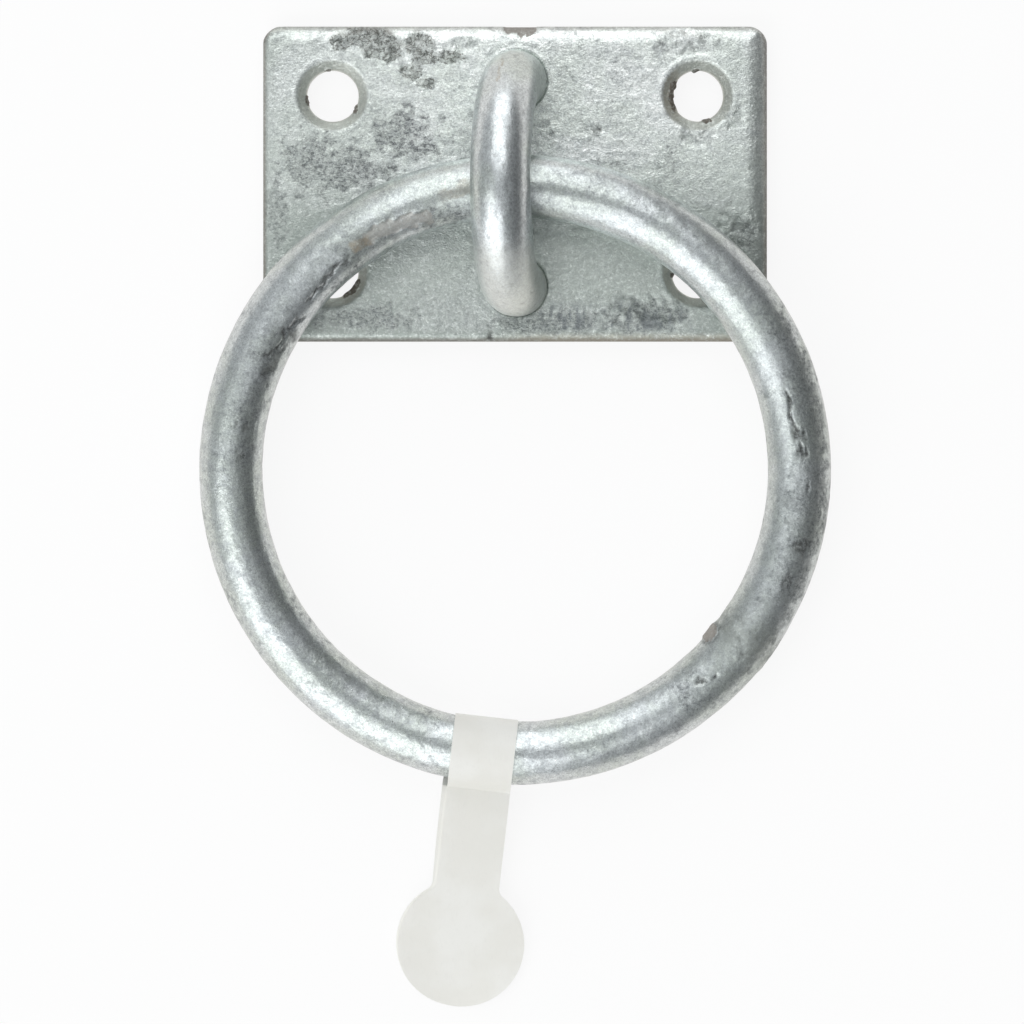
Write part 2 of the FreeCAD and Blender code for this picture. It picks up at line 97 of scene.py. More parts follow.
# %% Helpers for nodes
def feed(tree, node, inputs):
    """Feeds a node's inputs with other nodes' outputs or plain values."""
    for key, source in dict(inputs).items():
        if hasattr(source, "is_output"):
            tree.links.new(source, node.inputs[key])
        else:
            node.inputs[key].default_value = source


def add_node(tree, kind, inputs=(), **settings):
    """Adds a node, sets its properties and then feeds its inputs."""
    node = tree.nodes.new(kind)
    for key, value in settings.items():
        setattr(node, key, value)
    feed(tree, node, inputs)
    return node


def noise_at(tree, vector, scale, detail, rough, twist=0.0):
    """Fractal noise, about 0.5 in its middle."""
    return add_node(tree, "ShaderNodeTexNoise", {
        "Vector": vector, "Scale": scale, "Detail": detail, "Roughness": rough,
        "Distortion": twist}).outputs[0]


def step_of(tree, source, low, high, to_low=0.0, to_high=1.0):
    """A smooth step from one value to another, between two values of the source."""
    return add_node(tree, "ShaderNodeMapRange", {
        "Value": source, "From Min": low, "From Max": high, "To Min": to_low,
        "To Max": to_high}, interpolation_type="SMOOTHSTEP").outputs[0]


def do(tree, operation, a, b=0.0):
    """One step of arithmetic."""
    return add_node(tree, "ShaderNodeMath", {0: a, 1: b}, operation=operation).outputs[0]


def total(tree, start, *weighted):
    """A start value and outputs times their weights, all added up."""
    for source, weight in weighted:
        start = do(tree, "ADD", start, do(tree, "MULTIPLY", source, weight))
    return start


def from_half(tree, source):
    """How far a noise is from its middle value."""
    return do(tree, "ABSOLUTE", do(tree, "SUBTRACT", source, 0.5))


def mix_colour(tree, factor, a, b, kind="MIX"):
    """A mix of two colours."""
    return add_node(tree, "ShaderNodeMix", {0: factor, 6: a, 7: b},
                    data_type="RGBA", blend_type=kind).outputs[2]


def millimetres(tree, turn=(0, 0, 0), stretch=(1, 1, 1)):
    """Object coordinates in millimetres, turned and stretched."""
    coords = add_node(tree, "ShaderNodeTexCoord")
    return add_node(tree, "ShaderNodeMapping", {
        "Vector": coords.outputs["Object"], "Rotation": turn,
        "Scale": [share / MM for share in stretch]}).outputs[0]


def stored(tree, name):
    """A mask that was stored on the vertices."""
    return add_node(tree, "ShaderNodeAttribute", attribute_name=name).outputs["Fac"]


def new_group(name, inputs, outputs):
    """A node group with its input and output nodes."""
    group = bpy.data.node_groups.new(name, "ShaderNodeTree")
    for label, kind, value in inputs:
        socket = group.interface.new_socket(name=label, in_out="INPUT", socket_type=kind)
        if value is not None:
            socket.default_value = value
    for label, kind in outputs:
        group.interface.new_socket(name=label, in_out="OUTPUT", socket_type=kind)
    return group, group.nodes.new("NodeGroupInput"), group.nodes.new("NodeGroupOutput")


def new_material(name):
    """A material with its tree and its Principled shader."""
    material = bpy.data.materials.new(name)
    material.use_nodes = True
    return material, material.node_tree, material.node_tree.nodes["Principled BSDF"]


# %% [markdown]
# ## Camera
# The photograph looks straight down from about 1.5 m. The lens is set so that the width
# of the picture spans 162.5 mm at the height of the plate's front.

# %% Make the camera
CAMERA_HEIGHT = 1.5
CAMERA_AIM = (-0.0005, -0.0521)
FIELD = 0.1625
SENSOR = 36

camera_data = bpy.data.cameras.new("camera")
camera_data.sensor_width = SENSOR
camera_data.lens = SENSOR * CAMERA_HEIGHT / FIELD
camera_data.clip_start = 0.05
camera_data.clip_end = 20
camera = bpy.data.objects.new("camera", camera_data)
camera.location = (*CAMERA_AIM, PLATE_T + CAMERA_HEIGHT)
scene.collection.objects.link(camera)
scene.camera = camera
print("lens", round(camera_data.lens, 1), "mm")

# %% [markdown]
# ## Light
# Two wide soft boxes hang over the part, one above and one below the picture, and leave
# a gap between them for the camera. Round bars show that gap as a dark line between two
# white bands. The lower box hangs to the left and is turned, so the lower right is dull.

# %% Hang the lamps
LAMP_DISTANCE = 1.2
LAMP_AIM_Y = -0.04


def soft_box(name, turn, left, right, near, far, radiance):
    """An area lamp that fills the given angles from straight up, then turned about Z."""
    tilt = math.radians((near + far) / 2)
    low_x = LAMP_DISTANCE * math.tan(math.radians(left))
    high_x = LAMP_DISTANCE * math.tan(math.radians(right))
    lamp = bpy.data.lights.new(name, "AREA")
    lamp.shape = "RECTANGLE"
    lamp.size = high_x - low_x
    lamp.size_y = 2 * LAMP_DISTANCE * math.tan(math.radians((far - near) / 2))
    lamp.energy = radiance * math.pi * lamp.size * lamp.size_y
    holder = bpy.data.objects.new(name, lamp)
    swing = Matrix.Rotation(math.radians(turn), 4, "Z")
    place = Vector(((low_x + high_x) / 2, LAMP_DISTANCE * math.sin(tilt),
                    LAMP_DISTANCE * math.cos(tilt)))
    holder.matrix_world = (Matrix.Translation((0, LAMP_AIM_Y, 0)) @ swing
                           @ Matrix.Translation(place) @ Matrix.Rotation(-tilt, 4, "X"))
    scene.collection.objects.link(holder)


soft_box("upper_box", turn=0, left=-27, right=21, near=15, far=84, radiance=1.5)
soft_box("lower_box", turn=158, left=-20, right=40, near=20, far=86, radiance=1.5)

# %% [markdown]
# The world is what the metal mirrors between the lamps. Its grey falls off from left to
# right by direction. The camera sees it plain white.

# %% Paint the world
ROOM_LEFT = 0.46
ROOM_RIGHT = 0.12
FALL_START = -0.1
FALL_END = 0.9
ROOM_TINT = (0.95, 0.98, 1, 1)
WHITE = (1, 1, 1, 1)

world = bpy.data.worlds.new("room")
scene.world = world
world.use_nodes = True
tree = world.node_tree
tree.nodes.clear()
direction = add_node(tree, "ShaderNodeTexCoord").outputs["Generated"]
split = add_node(tree, "ShaderNodeSeparateXYZ", {0: direction})
fall = step_of(tree, split.outputs["X"], FALL_START, FALL_END, ROOM_LEFT, ROOM_RIGHT)
room = add_node(tree, "ShaderNodeBackground", {"Color": ROOM_TINT, "Strength": fall})
paper_white = add_node(tree, "ShaderNodeBackground", {"Color": WHITE})
seen = add_node(tree, "ShaderNodeLightPath").outputs["Is Camera Ray"]
choose = add_node(tree, "ShaderNodeMixShader",
                  {0: seen, 1: room.outputs[0], 2: paper_white.outputs[0]})
add_node(tree, "ShaderNodeOutputWorld", {0: choose.outputs[0]})
scene.view_settings.view_transform = "Standard"
print("room from", ROOM_LEFT, "to", ROOM_RIGHT)

# %% [markdown]
# ## Hands and eyes for mesh work
# A few helpers do what a modeller's hands do: take a piece in hand, pick its parts by
# where they are, and apply modifiers.

# %% Helpers for modelling
def in_hand(piece):
    """Only this piece is selected and active."""
    bpy.ops.object.select_all(action="DESELECT")
    piece.select_set(True)
    bpy.context.view_layer.objects.active = piece


def start_piece(name):
    """Names the primitive that was just added and puts its place into its mesh."""
    piece = bpy.context.active_object
    piece.name = name
    piece.data.name = name
    in_hand(piece)
    bpy.ops.object.transform_apply()
    return piece


def pick(piece, kind, test):
    """Enters edit mode with the vertices, edges or faces selected whose points pass."""
    in_hand(piece)
    mesh = piece.data
    groups = {"VERT": mesh.vertices, "EDGE": mesh.edges, "FACE": mesh.polygons}
    bpy.context.tool_settings.mesh_select_mode = [name == kind for name in groups]
    for group in groups.values():
        group.foreach_set("select", [False] * len(group))
    for part in groups[kind]:
        corners = [part] if kind == "VERT" else [mesh.vertices[i] for i in part.vertices]
        if test([corner.co for corner in corners]):
            for chosen in (part, *corners):
                chosen.select = True
    bpy.ops.object.mode_set(mode="EDIT")


def leave_edit():
    """Goes back to object mode."""
    bpy.ops.object.mode_set(mode="OBJECT")


def extrude(x, y, z):
    """Draws the selected end out."""
    bpy.ops.mesh.extrude_region_move(TRANSFORM_OT_translate={"value": (x, y, z)})


def close_up():
    """Fills the selected end, turns all faces outwards and goes back to object mode."""
    bpy.ops.mesh.edge_face_add()
    bpy.ops.mesh.select_all(action="SELECT")
    bpy.ops.mesh.normals_make_consistent(inside=False)
    leave_edit()


def modify(piece, kind, **settings):
    """Adds a modifier, sets it and applies it."""
    in_hand(piece)
    modifier = piece.modifiers.new(kind.lower(), kind)
    for key, value in settings.items():
        setattr(modifier, key, value)
    bpy.ops.object.modifier_apply(modifier=modifier.name)


def points_and_normals(piece):
    """A piece's vertices and their normals, as two tables of numbers."""
    mesh = piece.data
    points = np.empty(len(mesh.vertices) * 3)
    normals = np.empty(len(mesh.vertices) * 3)
    mesh.vertices.foreach_get("co", points)
    mesh.vertex_normals.foreach_get("vector", normals)
    return points.reshape(-1, 3), normals.reshape(-1, 3)


def set_points(piece, points):
    """Puts a table of places back into a piece's vertices."""
    piece.data.vertices.foreach_set("co", points.reshape(-1))
    piece.data.update()


def raise_coat(piece, node, points, normals, height):
    """Moves the vertices by millimetres along their normals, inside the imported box."""
    points = np.clip(points + normals * (height * MM)[:, None], *np.array(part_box(node)))
    set_points(piece, points)
    return points


def mark(piece, **masks):
    """Stores values per vertex under their names, which a material can read."""
    for name, values in masks.items():
        layer = piece.data.attributes.new(name, "FLOAT", "POINT")
        layer.data.foreach_set("value", values.astype(np.float32))


def cloud(points, size, octaves, shift=0.0, stretch=(1, 1, 1)):
    """Fractal noise at a feature size in metres, about -1 to 1."""
    scaled = points / size / np.array(stretch) + shift
    return np.array([noise.fractal(p, 1.0, 2.0, octaves) for p in scaled])


def smooth(values, low, high):
    """0 below low, 1 above high and a smooth step between."""
    t = np.clip((values - low) / (high - low), 0, 1)
    return t * t * (3 - 2 * t)


def between(values, start, end, soft):
    """1 between two values and 0 outside them, with soft ends."""
    return smooth(values, start - soft, start + soft) * (1 - smooth(values, end - soft, end + soft))


def blob(points, x, y, half_x, half_y, ragged):
    """A soft spot on the front, 1 in its middle and 0 past its edge, in millimetres."""
    far = np.hypot((points[:, 0] / MM - x) / half_x, (points[:, 1] / MM - y) / half_y)
    return 1 - smooth(far + ragged, 0.45, 1.15)


def most(points, places, ragged):
    """The strongest of several such spots at each point."""
    return np.max([blob(points, *place, ragged) for place in places], axis=0)


def bead(distance, crest, width):
    """A round bead across a distance, 1 at its crest."""
    return np.exp(-((distance - crest) / width) ** 2)


def report_mask(name, mask):
    """Prints how far a mask reaches."""
    print(name, "covers", int((mask > 0.5).sum()), "vertices")


def report_piece(piece):
    """Prints how fine a piece's mesh is."""
    triangles = sum(len(face.vertices) - 2 for face in piece.data.polygons)
    print(piece.name, len(piece.data.vertices), "vertices", triangles, "triangles")


def shade_smooth(piece):
    """Shades a finished piece smooth and reports it."""
    in_hand(piece)
    bpy.ops.object.shade_smooth()
    report_piece(piece)


# %% [markdown]
# ## The plate's blank
# The real plate is cut from flat bar and tumbled, so its corners are round and its front
# edge is rolled over. A cube is set to the plate's size, its four upright edges are
# bevelled, and then the front's and the back's outlines.

# %% Shape the blank
CORNER = 3.3 * MM
FRONT_ROLL = 0.6 * MM
BACK_ROLL = 0.6 * MM
TINY = 1e-6

bpy.ops.mesh.primitive_cube_add(size=1, location=(0, 0, PLATE_T / 2),
                                scale=(PLATE_W, PLATE_H, PLATE_T))
plate = start_piece("zinc_plate")


def upright(points):
    """Whether an edge runs straight up."""
    a, b = points
    return abs(a.x - b.x) < TINY and abs(a.y - b.y) < TINY


def at_height(height):
    """A test for points that are all at one height."""
    return lambda points: all(abs(p.z - height) < TINY for p in points)


for test, offset, segments in ((upright, CORNER, 10), (at_height(PLATE_T), FRONT_ROLL, 8),
                               (at_height(0), BACK_ROLL, 4)):
    pick(plate, "EDGE", test)
    bpy.ops.mesh.bevel(offset=offset, segments=segments, affect="EDGES")
    leave_edit()
report_piece(plate)

# %% [markdown]
# ## Holes
# The screw holes are drilled through and countersunk from the front. The staple's two
# holes have a bevel behind, where the weld sits. Cutters stand in for the drills, and a
# Boolean modifier takes each one out of the plate.

# %% Drill the holes
SCREW_RIM = 11.2 * MM / 2
LEG_HOLE = 4.62 * MM
WELD_BEVEL = 1.5 * MM
REACH = 1 * MM


def cut(piece, x, y, low, high, low_radius, high_radius):
    """Takes a cone or a cylinder out of a piece, between two heights."""
    bpy.ops.mesh.primitive_cone_add(vertices=96, radius1=low_radius, radius2=high_radius,
                                    depth=high - low, location=(x, y, (low + high) / 2))
    cutter = start_piece("cutter")
    modify(piece, "BOOLEAN", object=cutter, solver="EXACT")
    bpy.data.objects.remove(cutter)


screw_places = [(x, y) for x in (-SCREW_X, SCREW_X) for y in (-SCREW_Y, SCREW_Y)]
sink_depth = SCREW_RIM - SCREW_R
for x, y in screw_places:
    cut(plate, x, y, -REACH, PLATE_T + REACH, SCREW_R, SCREW_R)
    cut(plate, x, y, PLATE_T - sink_depth, PLATE_T + REACH, SCREW_R, SCREW_RIM + REACH)
leg_places = [(LEG_X, LEG_Y), (LEG_X, -LEG_Y)]
for x, y in leg_places:
    cut(plate, x, y, -REACH, PLATE_T + REACH, LEG_HOLE, LEG_HOLE)
    cut(plate, x, y, -REACH, WELD_BEVEL, LEG_HOLE + WELD_BEVEL + REACH, LEG_HOLE)
report_piece(plate)

# %% [markdown]
# ## The zinc's skin on the plate
# Zinc runs, rounds every edge and sets uneven. The plate is remeshed into even cells, and
# a little smoothing rounds the hole rims as the coat does.

# %% Remesh the plate
PLATE_CELL = 0.37 * MM
modify(plate, "REMESH", mode="VOXEL", voxel_size=PLATE_CELL)
modify(plate, "SMOOTH", factor=0.5, iterations=2)
report_piece(plate)

# %% [markdown]
# Each spot that the photo shows in the coat is a place and half sizes in millimetres, and
# noise makes its outline ragged. Dark smudges run up from the bottom edge, where the last
# zinc drained, most of all right of the middle.

# %% Find the plate's spots
points, normals = points_and_normals(plate)
front = smooth(normals[:, 2], 0.35, 0.9)
ragged = 0.35 * cloud(points, 1.6 * MM, 4, shift=3.1)

DROSS = [(-27.6, 22.5, 2.2, 1.6), (-24.6, 23.5, 2.8, 2.1), (-22.3, 22.6, 3.7, 3.2),
         (-19.9, 21.4, 2.3, 2.6), (-15.4, 22, 2.7, 2.2), (-14.2, 20.2, 3, 1.6),
         (-10.9, 20.1, 3.6, 1.3), (-16.5, 17.7, 2.4, 1.5), (-14, 16, 2, 1)]
ROUGH_SPOTS = [(27.7, 22.3, 6, 2.2), (29.2, 7.7, 3.4, 1.9), (34.6, 10.8, 1.8, 2.6),
               (35.6, -7.6, 3.2, 5), (20, -20.5, 8.5, 3), (20.9, 17.1, 1, 0.9),
               (-8, 22.3, 2.6, 1.2), (12.4, 8.4, 2.2, 1.2), (8, 2.6, 2.2, 0.8)]
DARK_PATCHES = [(-31.5, 2.5, 6.5, 6.5), (-17, 8, 6.5, 5), (-25.5, 2, 8, 4.4),
                (-24, -21.4, 10, 2.6), (5.5, -22, 12, 2.4), (20.6, -21.3, 9, 3.4),
                (-38, -4.5, 2.6, 5.5), (36.2, -9, 3, 4.2), (-24, -8, 5, 2)]
NICKS = [(7.4, 2.5, 1.4, 0.45), (-8.2, 3.4, 0.9, 0.7), (-4, -24.4, 0.7, 1.2),
         (13.4, 8.6, 0.5, 0.35)]

dross = most(points, DROSS, ragged * 0.6) * front
rough = most(points, ROUGH_SPOTS, ragged) * front
patch = most(points, DARK_PATCHES, ragged * 1.6) * front
nick = most(points, NICKS, ragged) * front

SMUDGE_X = 16
x_mm, y_mm, z_mm = (points / MM).T
smudge = smooth(cloud(points, 1.5 * MM, 4, shift=3.6, stretch=(0.55, 2.4, 1)), -0.15, 0.4)
smudge *= smooth(-y_mm + 3.0 * ragged, 17.6, 20.4) * (1 - smooth(-y_mm, 22.8, 23.6)) * front
smudge *= 0.3 + 0.7 * smooth(np.abs(x_mm - SMUDGE_X), 13, 9)
report_mask("dross", dross)
report_mask("patch", patch)

# %% [markdown]
# Noise then raises and lowers the vertices: a broad waviness, fine ripples that are
# stronger on the right, and the lumps and pits of the spots. All is in millimetres.

# %% Raise the coat
wave = cloud(points, 14 * MM, 3)
ripple = cloud(points, 1.3 * MM, 3, shift=7.7, stretch=(2.0, 1, 1))
grit = cloud(points, 0.9 * MM, 4, shift=1.3)
craters = np.abs(cloud(points, 1.5 * MM, 3, shift=5.5))

WAVE_RISE = 0.07
GRIT_RISE = 0.012
RIPPLE_RISE = 0.034
ROUGH_RISE = 0.36
DROSS_RISE = 0.34
NICK_DEPTH = 0.12
PATCH_DEPTH = 0.05
height = WAVE_RISE * wave + GRIT_RISE * grit
height += RIPPLE_RISE * ripple * (0.5 + 0.5 * smooth(x_mm, -6, 8))
height += ROUGH_RISE * rough * (ripple + 0.9 * grit - craters)
height += smooth(dross, 0.2, 0.6) * (DROSS_RISE + 0.75 * grit - 0.7 * craters)
height -= NICK_DEPTH * nick + PATCH_DEPTH * patch * craters
print("plate coat", round(height.min(), 2), "to", round(height.max(), 2), "mm high")

# %% [markdown]
# The zinc is thicker round the staple's feet: a sharp collar and a lower one stand off
# each leg. A faint lip runs round each countersink. The chip at the upper edge is a place
# where the zinc has flaked off, so it is sunk.

# %% Add collars, lips and the chip
COLLAR_R, COLLAR_RISE, COLLAR_WIDTH = 5.1, 0.2, 0.24
LOW_COLLAR_R, LOW_COLLAR_RISE, LOW_COLLAR_WIDTH = 6.3, 0.07, 0.6
LIP_R, LIP_RISE, LIP_WIDTH = 5.95, 0.11, 0.35
CHIP_LEFT, CHIP_RIGHT, CHIP_FOOT, CHIP_DEPTH = -1.7, 3.4, 23.85, 0.28

for x, y in leg_places:
    around = np.hypot(points[:, 0] - x, points[:, 1] - y) / MM
    low_collar = bead(around + 0.5 * ragged, LOW_COLLAR_R, LOW_COLLAR_WIDTH)
    height += LOW_COLLAR_RISE * front * low_collar
    height += COLLAR_RISE * front * bead(around, COLLAR_R, COLLAR_WIDTH)
for x, y in screw_places:
    around = np.hypot(points[:, 0] - x, points[:, 1] - y) / MM
    height += LIP_RISE * front * bead(around, LIP_R, LIP_WIDTH) * (0.6 + ragged)

chip_slope = 0.22 * np.abs(x_mm - 0.9)
chip = between(x_mm + 1.2 * ragged, CHIP_LEFT, CHIP_RIGHT, 0.2) * smooth(z_mm, 1.0, 2.5)
chip *= smooth(y_mm - chip_slope + 2.0 * ragged, CHIP_FOOT - 0.5, CHIP_FOOT)
height -= CHIP_DEPTH * chip
report_mask("chip", chip)

# %% [markdown]
# The shears have dragged the sides down, the upper and right ones the most. The front also
# falls off a little towards its upper and lower edges. The sides' reaches are in the order
# top, right, bottom and left.

# %% Drag the sides down
START_SLOPE = 0.03
EDGE_SLOPE = 0.72
FALL_OFF = 0.35
SIDE_BULGE = 0.16
SIDE_REACHES = (2.6, 3.4, 1.3, 1.1)


def drag(to_side, reach):
    """How far a side is drawn down, from its distance and reach in millimetres."""
    inside = np.clip(reach - to_side + 0.25 * ragged, 0, None)
    return START_SLOPE * inside + (EDGE_SLOPE - START_SLOPE) / (2 * reach) * inside ** 2


half_w, half_h = PLATE_W / 2 / MM, PLATE_H / 2 / MM
to_sides = [half_h - y_mm, half_w - x_mm, half_h + y_mm, half_w + x_mm]
to_side = np.min(to_sides, axis=0)
drop = np.max([drag(*pair) for pair in zip(to_sides, SIDE_REACHES)], axis=0)
drop += FALL_OFF * (y_mm / half_h) ** 2
points[:, 2] -= drop * MM * smooth(points[:, 2] / PLATE_T, 0.4, 0.95)

sideways = smooth(np.hypot(normals[:, 0], normals[:, 1]), 0.7, 1.0)
height += SIDE_BULGE * sideways * (to_side < 1)
points = raise_coat(plate, "plate", points, normals, height)
print("sides drop by", round(drop.max(), 2), "mm")

# %% [markdown]
# The bores have a dull, greenish coat and thin brown drips at their edges. Each drip is
# an angle, a half width in degrees and its reach up the countersink.

# %% Run the drips
bore, drip, stain = np.zeros((3, len(points)))
x_mm, y_mm, z_mm = (points / MM).T

DRIPS = {(SCREW_X, SCREW_Y): [(180, 40, 0.8), (95, 7, 0.5), (288, 10, 0.6)],
         (-SCREW_X, SCREW_Y): [(190, 14, 0.45), (99, 8, 0.5), (332, 9, 0.6)],
         (-SCREW_X, -SCREW_Y): [(318, 26, 0.9)],
         (SCREW_X, -SCREW_Y): [(187, 9, 0.6)]}
for (x, y), drips in DRIPS.items():
    off_x, off_y, _ = (points - (x, y, 0)).T
    around = np.hypot(off_x, off_y)
    inside = 1 - smooth(around / SCREW_RIM, 0.96, 1.02)
    bore = np.maximum(bore, inside)
    angle = np.degrees(np.arctan2(off_y, off_x))
    for place, half, reach in drips:
        apart = np.abs((angle - place + 180) % 360 - 180)
        run = 1 - smooth(apart + 14 * ragged, half * 0.6, half * 1.1)
        low = 1 - smooth((around - SCREW_R) / MM + 0.9 * ragged, 0.5 * reach, reach)
        low *= smooth(z_mm, 1.5, 2.6)
        drip = np.maximum(drip, inside * run * low)
        # A wide drip also darkens a broad stretch of the countersink's wall brown, on its side of
        # the hole.
        wide = 1 - smooth(apart, half * 0.7, half * 1.6)
        stain = np.maximum(stain, 0.7 * inside * wide * smooth(np.full(1, half), 15, 40))
_, normals_now = points_and_normals(plate)
points = raise_coat(plate, "plate", points, normals_now, drip * (0.2 + 0.3 * grit))
report_mask("drip", drip)

# %% [markdown]
# The plate is greyer towards the left, the bottom and its edges; on the lower half this
# grey is painted shade, where the front reflects less light. The sheared sides are duller,
# and their dark colour is painted shade along the plate's outline. The right half of the
# lower edge is a little rusty. Masks are stored on the vertices, and the material reads
# them.

# %% Mark the plate
x_mm, y_mm, z_mm = (points / MM).T
# Painted shade: the lower half is made greyer as shade; the left and the edges are greyer too.
grey = 0.45 * smooth(-x_mm, 8, 34) + 0.9 * smooth(-y_mm, -5, 9)
grey += 0.35 * (smooth(-x_mm, 37, 39.2) + smooth(x_mm, 26, 36) + smooth(-y_mm, 22.6, 24))
grey += 0.15 * smooth(x_mm, 1, 9) * smooth(-y_mm, 0, 9)
rusty = smooth(-y_mm + 0.5 * ragged, 23.5, 24.3) * smooth(x_mm, -6, 6)
stain = np.maximum(stain, 0.55 * rusty * (z_mm > 0.4 * PLATE_T / MM))
# Painted shade: the sides are painted dark, as the shade along the plate's outline, and made
# duller.
tilt_now = np.hypot(normals_now[:, 0], normals_now[:, 1])
side = smooth(tilt_now, 0.45, 0.8) * (to_side < 1.2) * np.where(to_sides[0] < 1.2, 0.6, 1.0)
mark(plate, dross=dross, patch=1.2 * patch, rough=rough, chip=chip, nick=nick, drip=drip,
     stain=stain, bore=bore, side=side, smudge=smudge,
     grey=np.clip(grey, 0, 1.3) * (1 - 0.55 * patch))
shade_smooth(plate)

# %% [markdown]
# ## The staple
# The real staple is one round bar, pushed through the plate and bent. It is modelled the
# same way: a circle is drawn up as a leg, spun round the upper bend, drawn across the
# short crown, spun round the lower bend and drawn down again. Then all of it that stands
# above the plate is leaned over to the left.

# %% Bend the staple
STAPLE_R = 9.5 * MM / 2
UPPER_BEND = 16.5 * MM
LOWER_BEND = 15.9 * MM
LEAN = math.radians(8.5)
BAR_SIDES = 96
STEP = 0.36 * MM
staple_low, staple_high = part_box("staple")
STAPLE_FOOT = staple_low.z
RISE = (staple_high.z - PLATE_T - STAPLE_R) / math.cos(LEAN)


def draw_out(direction, length):
    """Extrudes the selected end of a bar in even steps."""
    steps = max(1, round(length / STEP))
    for _ in range(steps):
        extrude(*[axis * length / steps for axis in direction])


def spin_out(centre, radius):
    """Turns the selected end of a bar through a right angle about the X axis."""
    steps = round(radius * math.pi / 2 / STEP)
    bpy.ops.mesh.spin(steps=steps, angle=-math.pi / 2, center=centre, axis=(1, 0, 0))


bpy.ops.mesh.primitive_circle_add(vertices=BAR_SIDES, radius=STAPLE_R,
                                  location=(LEG_X, LEG_Y, STAPLE_FOOT))
staple = start_piece("zinc_staple")
pick(staple, "VERT", lambda p: True)
draw_out((0, 0, 1), PLATE_T - STAPLE_FOOT)
draw_out((0, 0, 1), RISE - UPPER_BEND)
spin_out((LEG_X, LEG_Y - UPPER_BEND, PLATE_T + RISE - UPPER_BEND), UPPER_BEND)
draw_out((0, -1, 0), 2 * LEG_Y - UPPER_BEND - LOWER_BEND)
spin_out((LEG_X, LOWER_BEND - LEG_Y, PLATE_T + RISE - LOWER_BEND), LOWER_BEND)
draw_out((0, 0, -1), RISE - LOWER_BEND)
draw_out((0, 0, -1), PLATE_T - STAPLE_FOOT)
bpy.ops.mesh.select_all(action="SELECT")
bpy.ops.mesh.remove_doubles(threshold=0.02 * MM)
leave_edit()
report_piece(staple)

# %% Lean it and close its ends
pick(staple, "VERT", lambda p: p[0].z > PLATE_T + TINY)
bpy.ops.transform.rotate(value=LEAN, orient_axis="Y", center_override=(LEG_X, 0, PLATE_T))
bpy.ops.mesh.select_all(action="DESELECT")
bpy.ops.mesh.select_mode(type="EDGE")
bpy.ops.mesh.select_non_manifold(use_wire=False, use_multi_face=False,
                                 use_non_contiguous=False, use_verts=False)
close_up()
points, normals = points_and_normals(staple)
print("staple leans to x", round(points[:, 0].min() / MM, 2), "CAD", staple_low.x / MM)

# %% [markdown]
# The staple's coat is smoother than the plate's: a gentle waviness, small pits and three
# stained hollows near the upper foot. Its lower end is rougher, and its lighter beige is a
# painted reflection of the white floor.

# %% Coat the staple
above = smooth(points[:, 2] / MM, 4.2, 5.4)
wave = cloud(points, 6 * MM, 3, shift=2.2)
grit = cloud(points, 0.8 * MM, 3, shift=8.1)
pits = smooth(cloud(points, 1.1 * MM, 2, shift=4.4), 0.42, 0.7)
HOLLOWS = [(-2.0, 18.9, 0.22, 0.8), (-2.6, 17.4, 0.2, 1.2), (-2.9, 15.9, 0.16, 0.6)]
hollow = most(points, HOLLOWS, 0.7 * grit) * smooth(normals[:, 2], 0.0, 0.4)
height = 0.05 * wave + 0.018 * grit - 0.05 * pits - 0.12 * hollow
raise_coat(staple, "staple", points, normals, height * above)
# The soft mark makes the lower end rougher and paints it lighter beige, as a painted reflection of
# the floor.
mark(staple, nick=0.3 * pits * above, stain=hollow,
     soft=smooth(-points[:, 1] / MM, 8.5, 12.5))
shade_smooth(staple)

# %% [markdown]
# ## The ring
# A torus is the right start for a ring bent from round bar. It takes 256 cuts at most, so
# it is subdivided once to carry the coat's shape. Each vertex is known by its angle round
# the ring, from the right-hand side, and by its place across the bar.

# %% Bend the ring
RING_CUTS = 256
RING_SIDES = 80

bpy.ops.mesh.primitive_torus_add(major_segments=RING_CUTS, minor_segments=RING_SIDES,
                                 major_radius=RING_R, minor_radius=RING_BAR,
                                 location=RING_C, rotation=(RING_TILT, 0, 0))
ring = start_piece("zinc_ring")
modify(ring, "SUBSURF", levels=1, render_levels=1)
points, normals = points_and_normals(ring)
flat = (points - np.array(RING_C)) @ np.array(Matrix.Rotation(RING_TILT, 3, "X"))
turn = np.degrees(np.arctan2(flat[:, 1], flat[:, 0]))
out = (np.hypot(flat[:, 0], flat[:, 1]) - RING_R) / RING_BAR
up = flat[:, 2] / RING_BAR
report_piece(ring)

# %% [markdown]
# The photo shows the ring's marks: a dull welded seam at lower right with a flake on its
# inner side, a rough scar on the right, a flattened rubbed patch and a crack at upper
# left, and a speckled dark side along the left. The right side is dull and crinkled.
# Marks go from one angle to another, and across the bar from -1 at its inner side to 1.

# %% Find the ring's marks
bar_wave = cloud(points, 8 * MM, 3, shift=6.1)
grit = cloud(points, 0.9 * MM, 4, shift=2.9)
ragged = cloud(points, 1.8 * MM, 4, shift=9.3)
creases = np.abs(cloud(points, 2.2 * MM, 3, shift=0.7))
scales = cloud(points, 2.6 * MM, 4, shift=4.9)


def on_line(start, end, first, last, width, shake=1.0):
    """A ragged line along the bar, from one angle and place across to another."""
    share = np.clip((turn - start) / (end - start), 0, 1)
    middle = first + (last - first) * share + 0.12 * shake * ragged
    taper = smooth(share, 0.0, 0.12) * (1 - smooth(share, 0.88, 1.0))
    return taper * (1 - smooth(np.abs(out - middle), 0.55 * width, width)) * (up > 0)


def stretch_of(start, end, low, high, shake, soft):
    """A stretch of the bar between two angles and two places across its upper side."""
    along = between(turn + soft * shake * ragged, start, end, soft)
    across = between(out + 0.12 * shake * ragged, low, high, 0.1)
    return along * across * smooth(up, 0.0, 0.2)


